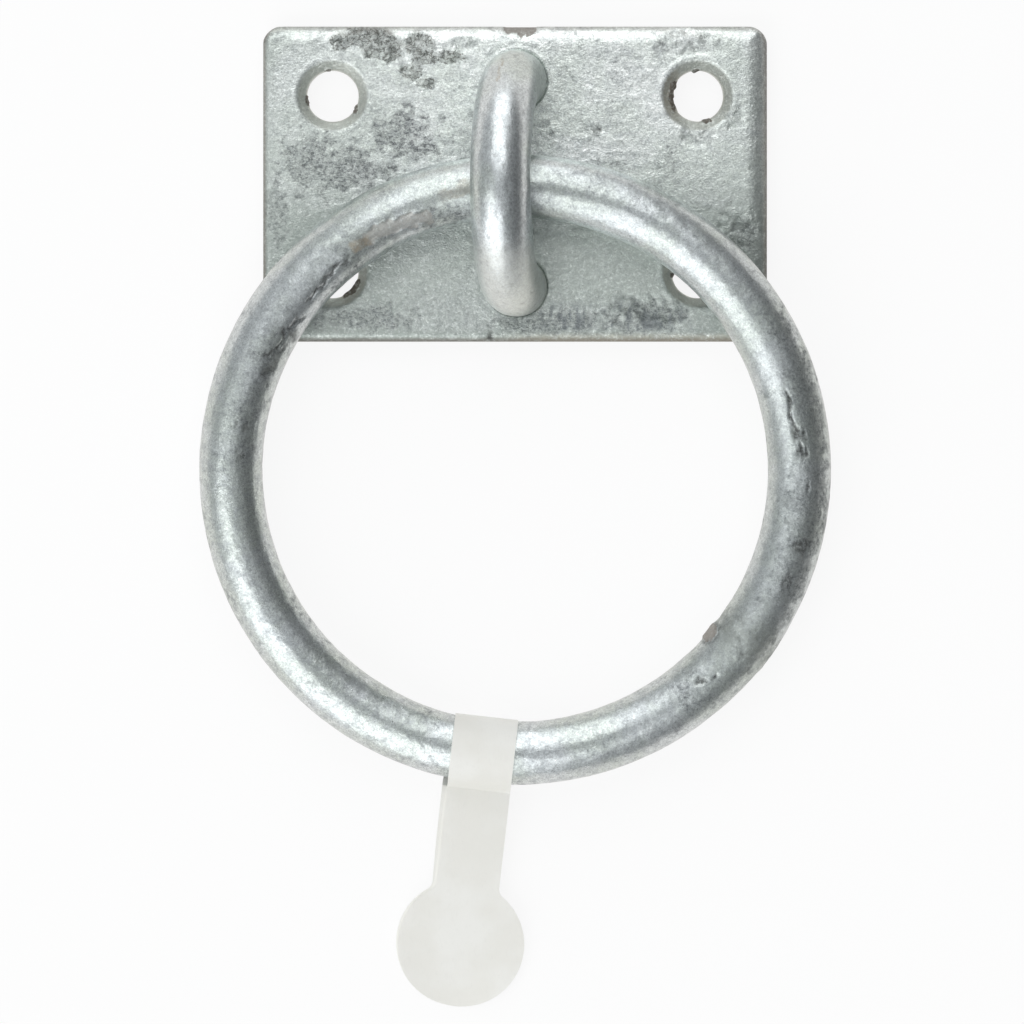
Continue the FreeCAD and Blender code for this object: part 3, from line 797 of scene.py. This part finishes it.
SEAM_TURN = -36
seam = bead(turn + 1.2 * ragged, SEAM_TURN, 4.2)
seam_line = bead(turn + 1.6 * ragged, SEAM_TURN + 2.5, 0.4) * (scales > 0)
flake_far = np.hypot((turn + 39.6 + 0.5 * ragged) / 2.5, (out + 0.93) / 0.2)
flake = (1 - smooth(flake_far, 0.75, 0.95)) * (up > -0.1)
flake_rim = bead(flake_far, 0.98, 0.16) * (up > 0)
scar = np.maximum(on_line(17.2, 8.0, -0.12, -0.06, 0.07),
                  on_line(9.5, 2.6, -0.06, 0.16, 0.2, 2.0) * smooth(creases, 0.08, 0.25))
rubbed = on_line(107, 124, -0.5, -0.24, 0.3, 1.3)
rubbed_rim = np.maximum(on_line(106, 125.5, -0.5, -0.24, 0.4, 1.3) - rubbed, 0)
rubbed_rim = rubbed_rim * smooth(scales, -0.3, 0.3)
stain = np.maximum(on_line(121.5, 126.5, -0.34, -0.22, 0.16, 1.8),
                   0.5 * on_line(92, 106, 0.02, 0.06, 0.26, 2.0))
crack = np.maximum(on_line(127, 142, -0.42, -0.52, 0.06, 1.4),
                   on_line(143, 156, -0.62, -0.4, 0.09, 2.0))
streak = np.max([on_line(146, 163, -0.75, -0.62, 0.16, 2.5),
                 on_line(168, 190, -0.42, -0.3, 0.22, 3.0),
                 on_line(-27, -9, 0.3, 0.42, 0.2, 3.0)], axis=0) * smooth(scales, -0.35, 0.3)
pock = np.max([on_line(-3.6, -2.6, 0.28, 0.32, 0.06),
               on_line(-50, -47.6, -0.12, -0.08, 0.12, 2),
               on_line(-46.3, -45, 0.02, 0.05, 0.1, 2)], axis=0)
report_mask("crack", crack)

# %% [markdown]
# The seam and the flake stand up, and the other marks are sunk, all in millimetres.

# %% Coat the ring
SEAM_RISE = 0.22
FLAKE_RISE = 0.3
SCAR_DEPTH = 0.25
RUBBED_DEPTH = 0.16
CRACK_DEPTH = 0.2
STREAK_DEPTH = 0.1
POCK_DEPTH = 0.25
height = 0.05 * bar_wave + 0.028 * grit + 0.03 * scales
height += SEAM_RISE * seam * (0.7 + 0.6 * ragged) - 0.08 * seam_line + FLAKE_RISE * flake
height -= scar * (SCAR_DEPTH + 0.3 * grit) + RUBBED_DEPTH * rubbed
height -= CRACK_DEPTH * crack + STREAK_DEPTH * streak + POCK_DEPTH * pock
raise_coat(ring, "ring", points, normals, height)
print("ring coat", round(height.min(), 2), "to", round(height.max(), 2), "mm high")

# %% [markdown]
# Each dark stretch is a strength, two angles, two places across the bar, how ragged it
# is, and how softly it ends in degrees.

# %% Mark the ring
DARK = [(0.7, 146, 215, -0.8, -0.22, 2.6, 6), (0.45, 130, 205, -0.3, 0.35, 2.6, 6),
        (1.0, -38, 30, 0.08, 0.9, 2.6, 5), (0.8, -26, 4, -0.4, 0.3, 2.6, 5),
        (0.65, -58, -28, 0.05, 0.9, 2.6, 4), (0.5, -56, -42, -0.6, 0.1, 2.6, 3),
        (0.35, 24, 66, 0.2, 0.85, 2.2, 6), (0.45, 96, 140, -0.95, -0.25, 2.2, 5)]
dark = [strength * stretch_of(*numbers) for strength, *numbers in DARK]
crinkled = stretch_of(-36, 14, -0.1, 0.85, 2.6, 5) * smooth(scales, -0.3, 0.3)
nicked = scar + crack + 0.8 * streak + 0.5 * seam_line + 0.8 * flake_rim + 0.7 * rubbed_rim + pock
# The dull mark makes the right side rougher, and its darker tint is painted shade that dims the
# highlights there.
mark(ring, patch=np.max([*dark, 0.55 * seam], axis=0), seam=seam, rubbed=rubbed, chip=flake,
     rough=crinkled, nick=np.clip(nicked, 0, 1), stain=stain,
     dull=smooth(turn, -75, -35) * (1.0 - 0.6 * smooth(turn, 10, 60)))
shade_smooth(ring)

# %% [markdown]
# ## Welds behind the plate
# Each leg is held by a plug of weld in its bevel. A disc is inset ring by ring, its rings
# are raised into a low crown with the steps of a weld run, and its rim goes up the bevel.

# %% Lay the welds
WELD_RIM = (weld_high.x - weld_low.x) / 2
WELD_FACE = weld_low.z
WELD_EDGE = 0.3 * MM
WELD_RINGS = 22


def lay_weld(name, x, y, seed):
    """A plug weld behind a leg."""
    bpy.ops.mesh.primitive_circle_add(vertices=120, radius=WELD_RIM, fill_type="NGON",
                                      location=(x, y, WELD_EDGE))
    weld = start_piece(name)
    pick(weld, "FACE", lambda p: True)
    for _ in range(WELD_RINGS):
        bpy.ops.mesh.inset(thickness=WELD_RIM / (WELD_RINGS + 1.5))
    leave_edit()
    pick(weld, "EDGE", lambda p: all(abs(math.hypot(q.x - x, q.y - y) - WELD_RIM) < TINY
                                     for q in p))
    extrude(0, 0, WELD_BEVEL - WELD_EDGE)
    shrink = LEG_HOLE / WELD_RIM
    bpy.ops.transform.resize(value=(shrink, shrink, 1), center_override=(x, y, WELD_BEVEL))
    close_up()
    points, _ = points_and_normals(weld)
    off_x, off_y, _ = (points - (x, y, 0)).T
    around = np.hypot(off_x, off_y)
    angle = np.arctan2(off_y, off_x)
    face = 1 - smooth(points[:, 2] / MM, 0.4, 0.8)
    crown = (1 - (around / WELD_RIM) ** 2) * (WELD_EDGE - WELD_FACE - 0.12 * MM)
    spiral = np.sin(around / (0.55 * MM) + 1.5 * angle + seed)
    lumps = cloud(points, 2.2 * MM, 3, shift=seed)
    points[:, 2] -= face * (crown + MM * (0.05 * spiral + 0.06 * lumps))
    points[:, 2] = np.maximum(points[:, 2], WELD_FACE)
    set_points(weld, points)
    mark(weld, nick=face * smooth(lumps, 0.35, 0.7))
    shade_smooth(weld)
    return weld


upper_weld = lay_weld("weld_upper", LEG_X, LEG_Y, 0.4)
lower_weld = lay_weld("weld_lower", LEG_X, -LEG_Y, 2.9)

# %% [markdown]
# ## The paper tag
# The tag is one strip of paper with a round head at each end. It is drawn flat first: a
# disc for one head, a strip drawn out of its top, and a mirror for the other half.
# Straight cuts divide it into small faces for the fold.

# %% Draw the tag flat
TAG_ANGLE = math.radians(6.5)
TAG_HEAD = 20.1 * MM / 2
PAPER = 0.2 * MM
LOOP = RING_BAR + 0.4 * MM + PAPER / 2
PINCH = RING_BAR + 0.4 * MM + 0.8 * MM
TAG_REACH = 31.2 * MM
NECK_ANGLE = math.radians(30)

loop_spread = math.acos(LOOP / PINCH)
side_run = math.sqrt(PINCH ** 2 - LOOP ** 2)
arc_end = LOOP * (math.pi - loop_spread)
half_loop = arc_end + side_run
half_strip = TAG_REACH - PINCH + half_loop

bpy.ops.mesh.primitive_circle_add(vertices=72, radius=TAG_HEAD, fill_type="NGON",
                                  location=(0, -half_strip, 0))
tag = start_piece("paper_tag")
neck_y = -half_strip + TAG_HEAD * math.cos(NECK_ANGLE)
pick(tag, "EDGE", lambda p: all(q.y > neck_y - TINY for q in p))
extrude(0, 1 * MM, 0)
extrude(0, 1 * MM, 0)
bpy.ops.transform.resize(value=(1, 0, 1), center_override=(0, 0, 0))
leave_edit()
pick(tag, "VERT", lambda p: abs(p[0].y - neck_y) < TINY)
bpy.ops.mesh.bevel(offset=2.6 * MM, segments=8, affect="VERTICES")
leave_edit()
modify(tag, "MIRROR", use_axis=(False, True, False), use_clip=False,
       merge_threshold=0.001 * MM)
report_piece(tag)

# %% Divide the strip
COLUMN = 0.9 * MM
COLUMNS = 11
ROW = 0.6 * MM


def slice_through(piece, place, normal):
    """Cuts all faces along a plane."""
    pick(piece, "FACE", lambda p: True)
    bpy.ops.mesh.bisect(plane_co=place, plane_no=normal)
    leave_edit()


for step in range(-COLUMNS, COLUMNS + 1):
    slice_through(tag, (step * COLUMN, 0, 0), (1, 0, 0))
rows = int((half_strip + TAG_HEAD) / ROW)
for step in range(-rows, rows + 1):
    slice_through(tag, (0, step * ROW, 0), (0, 1, 0))
report_piece(tag)

# %% [markdown]
# Folding is a walk along the strip. Its middle lies on the ring's inner side. From there
# both halves go round the bar, meet at the pinch and lie on each other. The back layer
# slips a little to the left, and the head curls a little.

# %% Fold it round the ring
SLIP = 0.8 * MM
points, _ = points_and_normals(tag)
walk = np.abs(points[:, 1])
side = np.where(points[:, 1] >= 0, 1.0, -1.0)
parts = [walk <= arc_end, walk <= half_loop]
angle = walk / LOOP
along_side = (walk - arc_end) / side_run
touch_y = -LOOP * math.cos(loop_spread)
touch_z = LOOP * math.sin(loop_spread)
leaf = np.maximum(walk - half_loop, 0)
side_y = touch_y - (PINCH + touch_y) * along_side
folded_y = np.select(parts, [LOOP * np.cos(angle), side_y], -PINCH - leaf)
ease = 0.5 * PAPER * (1 - np.exp(-leaf / (1.5 * MM)))
folded_z = np.select(parts, [LOOP * np.sin(angle), touch_z * (1 - along_side)]) + ease
curl = 0.25 * MM * smooth(leaf / MM, 12, 34) * (points[:, 0] / TAG_HEAD) ** 2
lift = 0.35 * MM * smooth(leaf / MM, 24, 36) * smooth(points[:, 0] / MM, -2, 9)
points[:, 1] = folded_y
points[:, 2] = side * folded_z + curl + np.where(side > 0, lift, 0)
slip = SLIP * smooth(walk / half_loop, 0, 1) * (1 - 0.7 * smooth(leaf / MM, 6, 30))
points[:, 0] -= np.where(side < 0, slip, 0)
set_points(tag, points)

slope = math.asin((RING_C.z - RING_R * math.sin(RING_TILT) - PAPER) / (TAG_REACH + TAG_HEAD))
hang = Vector((-RING_R * math.sin(TAG_ANGLE), -RING_R * math.cos(TAG_ANGLE), 0))
tag_place = RING_C + Matrix.Rotation(RING_TILT, 3, "X") @ hang
tag.rotation_mode = "QUATERNION"
tag.matrix_world = (Matrix.Translation(tag_place) @ Matrix.Rotation(-TAG_ANGLE, 4, "Z")
                    @ Matrix.Rotation(slope, 4, "X"))
in_hand(tag)
bpy.ops.object.transform_apply()
modify(tag, "SOLIDIFY", thickness=PAPER * 0.85, offset=0)
bpy.ops.object.shade_smooth_by_angle(angle=math.radians(40))
report_piece(tag)

# %% [markdown]
# ## Shared effects
# Every zinc finish mixes the same effects with its own numbers, so they are built once as
# a node group. A light blue-grey and a greenish grey drift into each other, darker clouds
# of fine specks lie on them, and a fine grit of crystals covers it all. The dark clouds
# are duller. The group also puts out thin veins, which break up dross and rough spots,
# and creases, which make their crust.

# %% Build the zinc coat
FLOAT, COLOUR, VECTOR = "NodeSocketFloat", "NodeSocketColor", "NodeSocketVector"
ZINC_LIGHT = (0.7, 0.74, 0.75, 1)
ZINC_GREEN = (0.61, 0.66, 0.63, 1)
PLATE_LIGHT = (0.9, 0.94, 0.92, 1)
PLATE_GREEN = (0.8, 0.855, 0.81, 1)
ZINC_MID = (0.38, 0.41, 0.43, 1)
ZINC_DARK = (0.08, 0.086, 0.096, 1)
ZINC_FLECK = (0.84, 0.87, 0.865, 1)

zinc_coat, coat_in, coat_out = new_group(
    "zinc_coat",
    [("Vector", VECTOR, None), ("Patch", FLOAT, 0.0), ("Clouds", FLOAT, 0.3),
     ("Specks", FLOAT, 0.8), ("Shine", FLOAT, 0.34), ("Mottle", FLOAT, 0.5),
     ("Grit", FLOAT, 0.6), ("Light", COLOUR, ZINC_LIGHT), ("Green", COLOUR, ZINC_GREEN)],
    [("Color", COLOUR), ("Roughness", FLOAT), ("Height", FLOAT), ("Veins", FLOAT),
     ("Creases", FLOAT)])
tree = zinc_coat
given = coat_in.outputs
place = given["Vector"]
drift = noise_at(tree, place, 0.08, 3, 0.6, 0.4)
clouds = noise_at(tree, place, 0.17, 7, 0.68, 0.4)
mottle = noise_at(tree, place, 0.8, 6, 0.72, 0.2)
grain = noise_at(tree, place, 1.9, 5, 0.78, 0.3)
fleck_noise = noise_at(tree, place, 2.3, 4, 0.7, 0.3)
crystals = noise_at(tree, place, 3.6, 3, 0.75, 0.8)
veins = noise_at(tree, place, 1.1, 3, 0.6, 0.5)
crinkle = noise_at(tree, place, 1.3, 4, 0.62, 0.9)
soft_relief = noise_at(tree, place, 0.75, 3, 0.5, 0.3)
fine_relief = noise_at(tree, place, 3.4, 2, 0.65)
uneven = do(tree, "SUBTRACT", mottle, 0.5)

base = mix_colour(tree, step_of(tree, drift, 0.38, 0.62), given["Light"], given["Green"])
mottled = do(tree, "MULTIPLY", step_of(tree, mottle, 0.4, 0.68), given["Mottle"])
base = mix_colour(tree, mottled, base, ZINC_MID)
cover = total(tree, clouds, (uneven, 0.6), (given["Patch"], 0.27), (given["Clouds"], 0.2))
speck = total(tree, 0.32, (step_of(tree, grain, 0.4, 0.66), 0.68))
darkness = do(tree, "MULTIPLY", step_of(tree, cover, 0.56, 0.86), speck)
darkness = do(tree, "MULTIPLY", darkness, given["Specks"])
freckle = step_of(tree, fleck_noise, 0.37, 0.28, 0.0, 0.6)
light_fleck = step_of(tree, fleck_noise, 0.59, 0.7, 0.0, 0.55)
colour = mix_colour(tree, darkness, base, ZINC_DARK)
colour = mix_colour(tree, freckle, colour, ZINC_DARK)
colour = mix_colour(tree, light_fleck, colour, ZINC_FLECK)
grit = step_of(tree, crystals, 0.32, 0.68, 0.64, 1.26)
gritty = mix_colour(tree, 1.0, colour, grit, "MULTIPLY")
creased = from_half(tree, crinkle)
feed(tree, coat_out, {
    "Color": mix_colour(tree, given["Grit"], colour, gritty),
    "Roughness": total(tree, given["Shine"], (darkness, 0.25), (uneven, 0.3)),
    "Height": total(tree, 0.0, (soft_relief, 0.8), (fine_relief, 0.36), (creased, 0.7),
                    (darkness, -0.25)),
    "Veins": step_of(tree, from_half(tree, veins), 0.01, 0.07, 1.0, 0.0),
    "Creases": creased})
print("groups", [g.name for g in bpy.data.node_groups])

# %% [markdown]
# ## Zinc finishes
# One function makes each zinc material around the shared coat. Spots that were stored on
# the vertices are laid over it, such as dark dross, dull bores, bare chips and nicks.

# %% Make the zinc materials
def spot_mask(tree, spot, veins, fine, torn):
    """Where a spot shows: crisp spots have a torn outline, the others fade by grains."""
    amount = stored(tree, spot.name)
    if spot.crisp:
        shaken = total(tree, amount, (do(tree, "SUBTRACT", torn, 0.5), 1.8))
        amount = do(tree, "MULTIPLY", step_of(tree, shaken, 0.34, 0.52),
                    step_of(tree, amount, 0.02, 0.15))
    grains = step_of(tree, fine, 0.3, 0.55, 1 - spot.grainy, 1.0)
    if spot.veined:
        grains = do(tree, "MAXIMUM", do(tree, "MULTIPLY", grains, 0.36), veins)
    return do(tree, "MULTIPLY", do(tree, "MULTIPLY", amount, grains), spot.strength)


def zinc_finish(name, spots, relief, metal=0.85, stretch=(1, 1, 1), **numbers):
    """A zinc material: the coat with its own numbers, and the named spots on it."""
    material, tree, shader = new_material(name)
    numbers["Vector"] = millimetres(tree, stretch=stretch)
    if "patch" in spots:
        numbers["Patch"] = stored(tree, "patch")
    coat = add_node(tree, "ShaderNodeGroup", numbers, node_tree=zinc_coat).outputs
    colour, dull, height = coat["Color"], coat["Roughness"], coat["Height"]
    raw = millimetres(tree)
    fine = noise_at(tree, raw, 1.9, 4, 0.75)
    torn = noise_at(tree, raw, 1.2, 5, 0.65)
    for spot in SPOT_LOOKS:
        if spot.name not in spots:
            continue
        mask = spot_mask(tree, spot, coat["Veins"], fine, torn)
        colour = mix_colour(tree, mask, colour, (*spot.tint, 1))
        dull = total(tree, dull, (mask, spot.duller))
        if spot.crust:
            crust = do(tree, "MULTIPLY", stored(tree, spot.name), coat["Creases"])
            height = total(tree, height, (crust, spot.crust))
        if spot.oxide:
            metal = do(tree, "MULTIPLY", metal, total(tree, 1.0, (mask, -spot.oxide)))
    bump = add_node(tree, "ShaderNodeBump",
                    {"Height": height, "Strength": 1.0, "Distance": relief * MM})
    feed(tree, shader, {"Base Color": colour, "Roughness": dull, "Metallic": metal,
                        "Normal": bump.outputs[0]})
    return material


# A spot's colour and strength, how grainy it is and how much duller than the coat, then
# whether it is crisp and veined, how thick its crust is, and how much of it is oxide.
Spot = namedtuple("Spot", "name tint strength grainy duller crisp veined crust oxide",
                  defaults=(False, False, 0, 0))
SPOT_LOOKS = [
    # The plate's grey is partly painted shade, which darkens the lower half of its front.
    Spot("grey", (0.41, 0.455, 0.425), 0.74, 0.65, 0.04),
    # The dull spot's darker tint is painted shade on the ring's right side; it also makes that side
    # rougher.
    Spot("dull", (0.38, 0.42, 0.4), 0.28, 0.9, 0.2),
    # The soft spot's lighter beige is a painted reflection of the floor on the staple's lower end;
    # it also adds roughness.
    Spot("soft", (0.75, 0.76, 0.715), 0.5, 0.5, 0.3),
    Spot("smudge", (0.17, 0.19, 0.205), 0.75, 0.6, 0.08),
    Spot("rough", (0.3, 0.32, 0.32), 0.3, 0.9, 0.0, veined=True, crust=2.0),
    # The side spot's dark brown is painted shade along the plate's outline; it also makes the sides
    # less metallic and duller.
    Spot("side", (0.17, 0.15, 0.13), 0.8, 0.4, 0.2, oxide=0.85),
    Spot("bore", (0.55, 0.575, 0.535), 0.85, 0.6, 0.12, crust=1),
    Spot("seam", (0.36, 0.385, 0.36), 0.55, 0.8, 0.16),
    Spot("rubbed", (0.45, 0.435, 0.405), 0.65, 0.5, 0.12, crisp=True, oxide=0.15),
    Spot("stain", (0.36, 0.3, 0.215), 0.65, 0.7, 0.12, oxide=0.2),
    Spot("chip", (0.31, 0.29, 0.265), 0.95, 0.3, 0.15, crisp=True, crust=1, oxide=0.5),
    Spot("dross", (0.085, 0.086, 0.07), 0.78, 0.9, 0.0, crisp=True, veined=True, crust=3.0),
    Spot("drip", (0.12, 0.1, 0.078), 0.9, 0.5, 0.2, crisp=True, crust=1, oxide=0.6),
    Spot("nick", (0.05, 0.05, 0.048), 0.8, 0.7, 0.2, oxide=0.2),
]
PLATE_SPOTS = "grey smudge patch rough side bore stain chip dross drip nick".split()
STAPLE_SPOTS = "soft stain nick".split()
RING_SPOTS = "dull patch rough seam rubbed stain chip nick".split()

plate_zinc = zinc_finish("plate_zinc", PLATE_SPOTS, 0.15, metal=0.82, stretch=(0.8, 1, 1),
                         Clouds=0.2, Specks=0.9, Shine=0.32, Mottle=0.42, Grit=0.9,
                         Light=PLATE_LIGHT, Green=PLATE_GREEN)
staple_zinc = zinc_finish("staple_zinc", STAPLE_SPOTS, 0.05, metal=0.93,
                          stretch=(1, 0.7, 0.7), Clouds=-0.2, Specks=0.6, Shine=0.32,
                          Mottle=0.4, Grit=0.7)
ring_zinc = zinc_finish("ring_zinc", RING_SPOTS, 0.06, metal=0.9, Clouds=0.1, Specks=0.92,
                        Shine=0.31, Mottle=0.62, Grit=0.8)
weld_zinc = zinc_finish("weld_zinc", ["nick"], 0.12, Clouds=0.6, Specks=0.8, Shine=0.4,
                        Mottle=0.7)
print("materials", [material.name for material in bpy.data.materials])

# %% [markdown]
# ## Paper
# The tag is coated paper: a warm white, a little uneven, with a hint of fibre along the
# strip and slightly glossy.

# %% Make the paper
PAPER_DARK = (0.86, 0.85, 0.8, 1)
PAPER_LIGHT = (0.9, 0.895, 0.855, 1)
PAPER_FIBRE = (0.78, 0.77, 0.73, 1)

paper, tree, shader = new_material("tag_paper")
fibre = noise_at(tree, millimetres(tree, (0, 0, TAG_ANGLE), (1, 0.35, 1)), 2.4, 4, 0.7)
age = noise_at(tree, millimetres(tree), 0.12, 3, 0.5)
colour = mix_colour(tree, step_of(tree, age, 0.35, 0.65), PAPER_DARK, PAPER_LIGHT)
colour = mix_colour(tree, step_of(tree, fibre, 0.5, 0.75, 0, 0.25), colour, PAPER_FIBRE)
bump = add_node(tree, "ShaderNodeBump",
                {"Height": total(tree, fibre, (age, 6.0)), "Distance": 0.02 * MM})
feed(tree, shader, {"Base Color": colour, "Normal": bump.outputs[0],
                    "Roughness": step_of(tree, fibre, 0.3, 0.7, 0.38, 0.52),
                    "Specular IOR Level": 0.4})
print("paper nodes", len(tree.nodes))

# %% [markdown]
# ## Floor
# The part lies on white paper. It is a wide plane that glows for the camera and for the
# metal's reflections, and keeps a little of the part's shadow. From below it is clear, so
# that the back can be seen.

# %% Lay the floor
FLOOR_GAP = 0.02 * MM
FLOOR_SIZE = 6
FLOOR_GREY = (0.93, 0.93, 0.93, 1)
GLOW_SHARE = 0.88
GLOW_MIRRORED = (1, 0.965, 0.935, 1)

bpy.ops.mesh.primitive_plane_add(size=FLOOR_SIZE, location=(0, 0, -FLOOR_GAP))
floor = start_piece("floor")
white, tree, shader = new_material("floor_white")
feed(tree, shader, {"Base Color": FLOOR_GREY, "Roughness": 0.9})
seen = add_node(tree, "ShaderNodeLightPath").outputs
tint = mix_colour(tree, seen["Is Camera Ray"], GLOW_MIRRORED, WHITE)
glow = add_node(tree, "ShaderNodeEmission", {"Color": tint, "Strength": 1.0})
visible = do(tree, "MAXIMUM", seen["Is Camera Ray"],
             do(tree, "MAXIMUM", seen["Is Glossy Ray"], seen["Is Transmission Ray"]))
blend = add_node(tree, "ShaderNodeMixShader", {
    0: do(tree, "MULTIPLY", visible, GLOW_SHARE), 1: shader.outputs[0], 2: glow.outputs[0]})
facing = add_node(tree, "ShaderNodeNewGeometry")
clear = add_node(tree, "ShaderNodeBsdfTransparent")
from_below = add_node(tree, "ShaderNodeMixShader", {
    0: facing.outputs["Backfacing"], 1: blend.outputs[0], 2: clear.outputs[0]})
feed(tree, tree.nodes["Material Output"], {"Surface": from_below.outputs[0]})
floor.data.materials.append(white)

# %% [markdown]
# ## Dress the frame
# Each piece gets its material, rides on its body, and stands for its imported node.

# %% Hang the pieces on the frame
DRESS = [
    (plate, plate_zinc, "plate", "plate", "plate_zinc"),
    (staple, staple_zinc, "plate", "staple", "staple_zinc"),
    (upper_weld, weld_zinc, "plate", "back_weld_upper", "weld_zinc"),
    (lower_weld, weld_zinc, "plate", "back_weld_lower", "weld_zinc"),
    (ring, ring_zinc, "ring", "ring", "ring_zinc"),
    (tag, paper, "ring", "label_tag", "tag_paper"),
]
for piece, material, body, node, slot in DRESS:
    piece.data.materials.clear()
    piece.data.materials.append(material)
    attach(piece, body)
    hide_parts(node)
    print(piece.name, "rides on", body, "for", node)
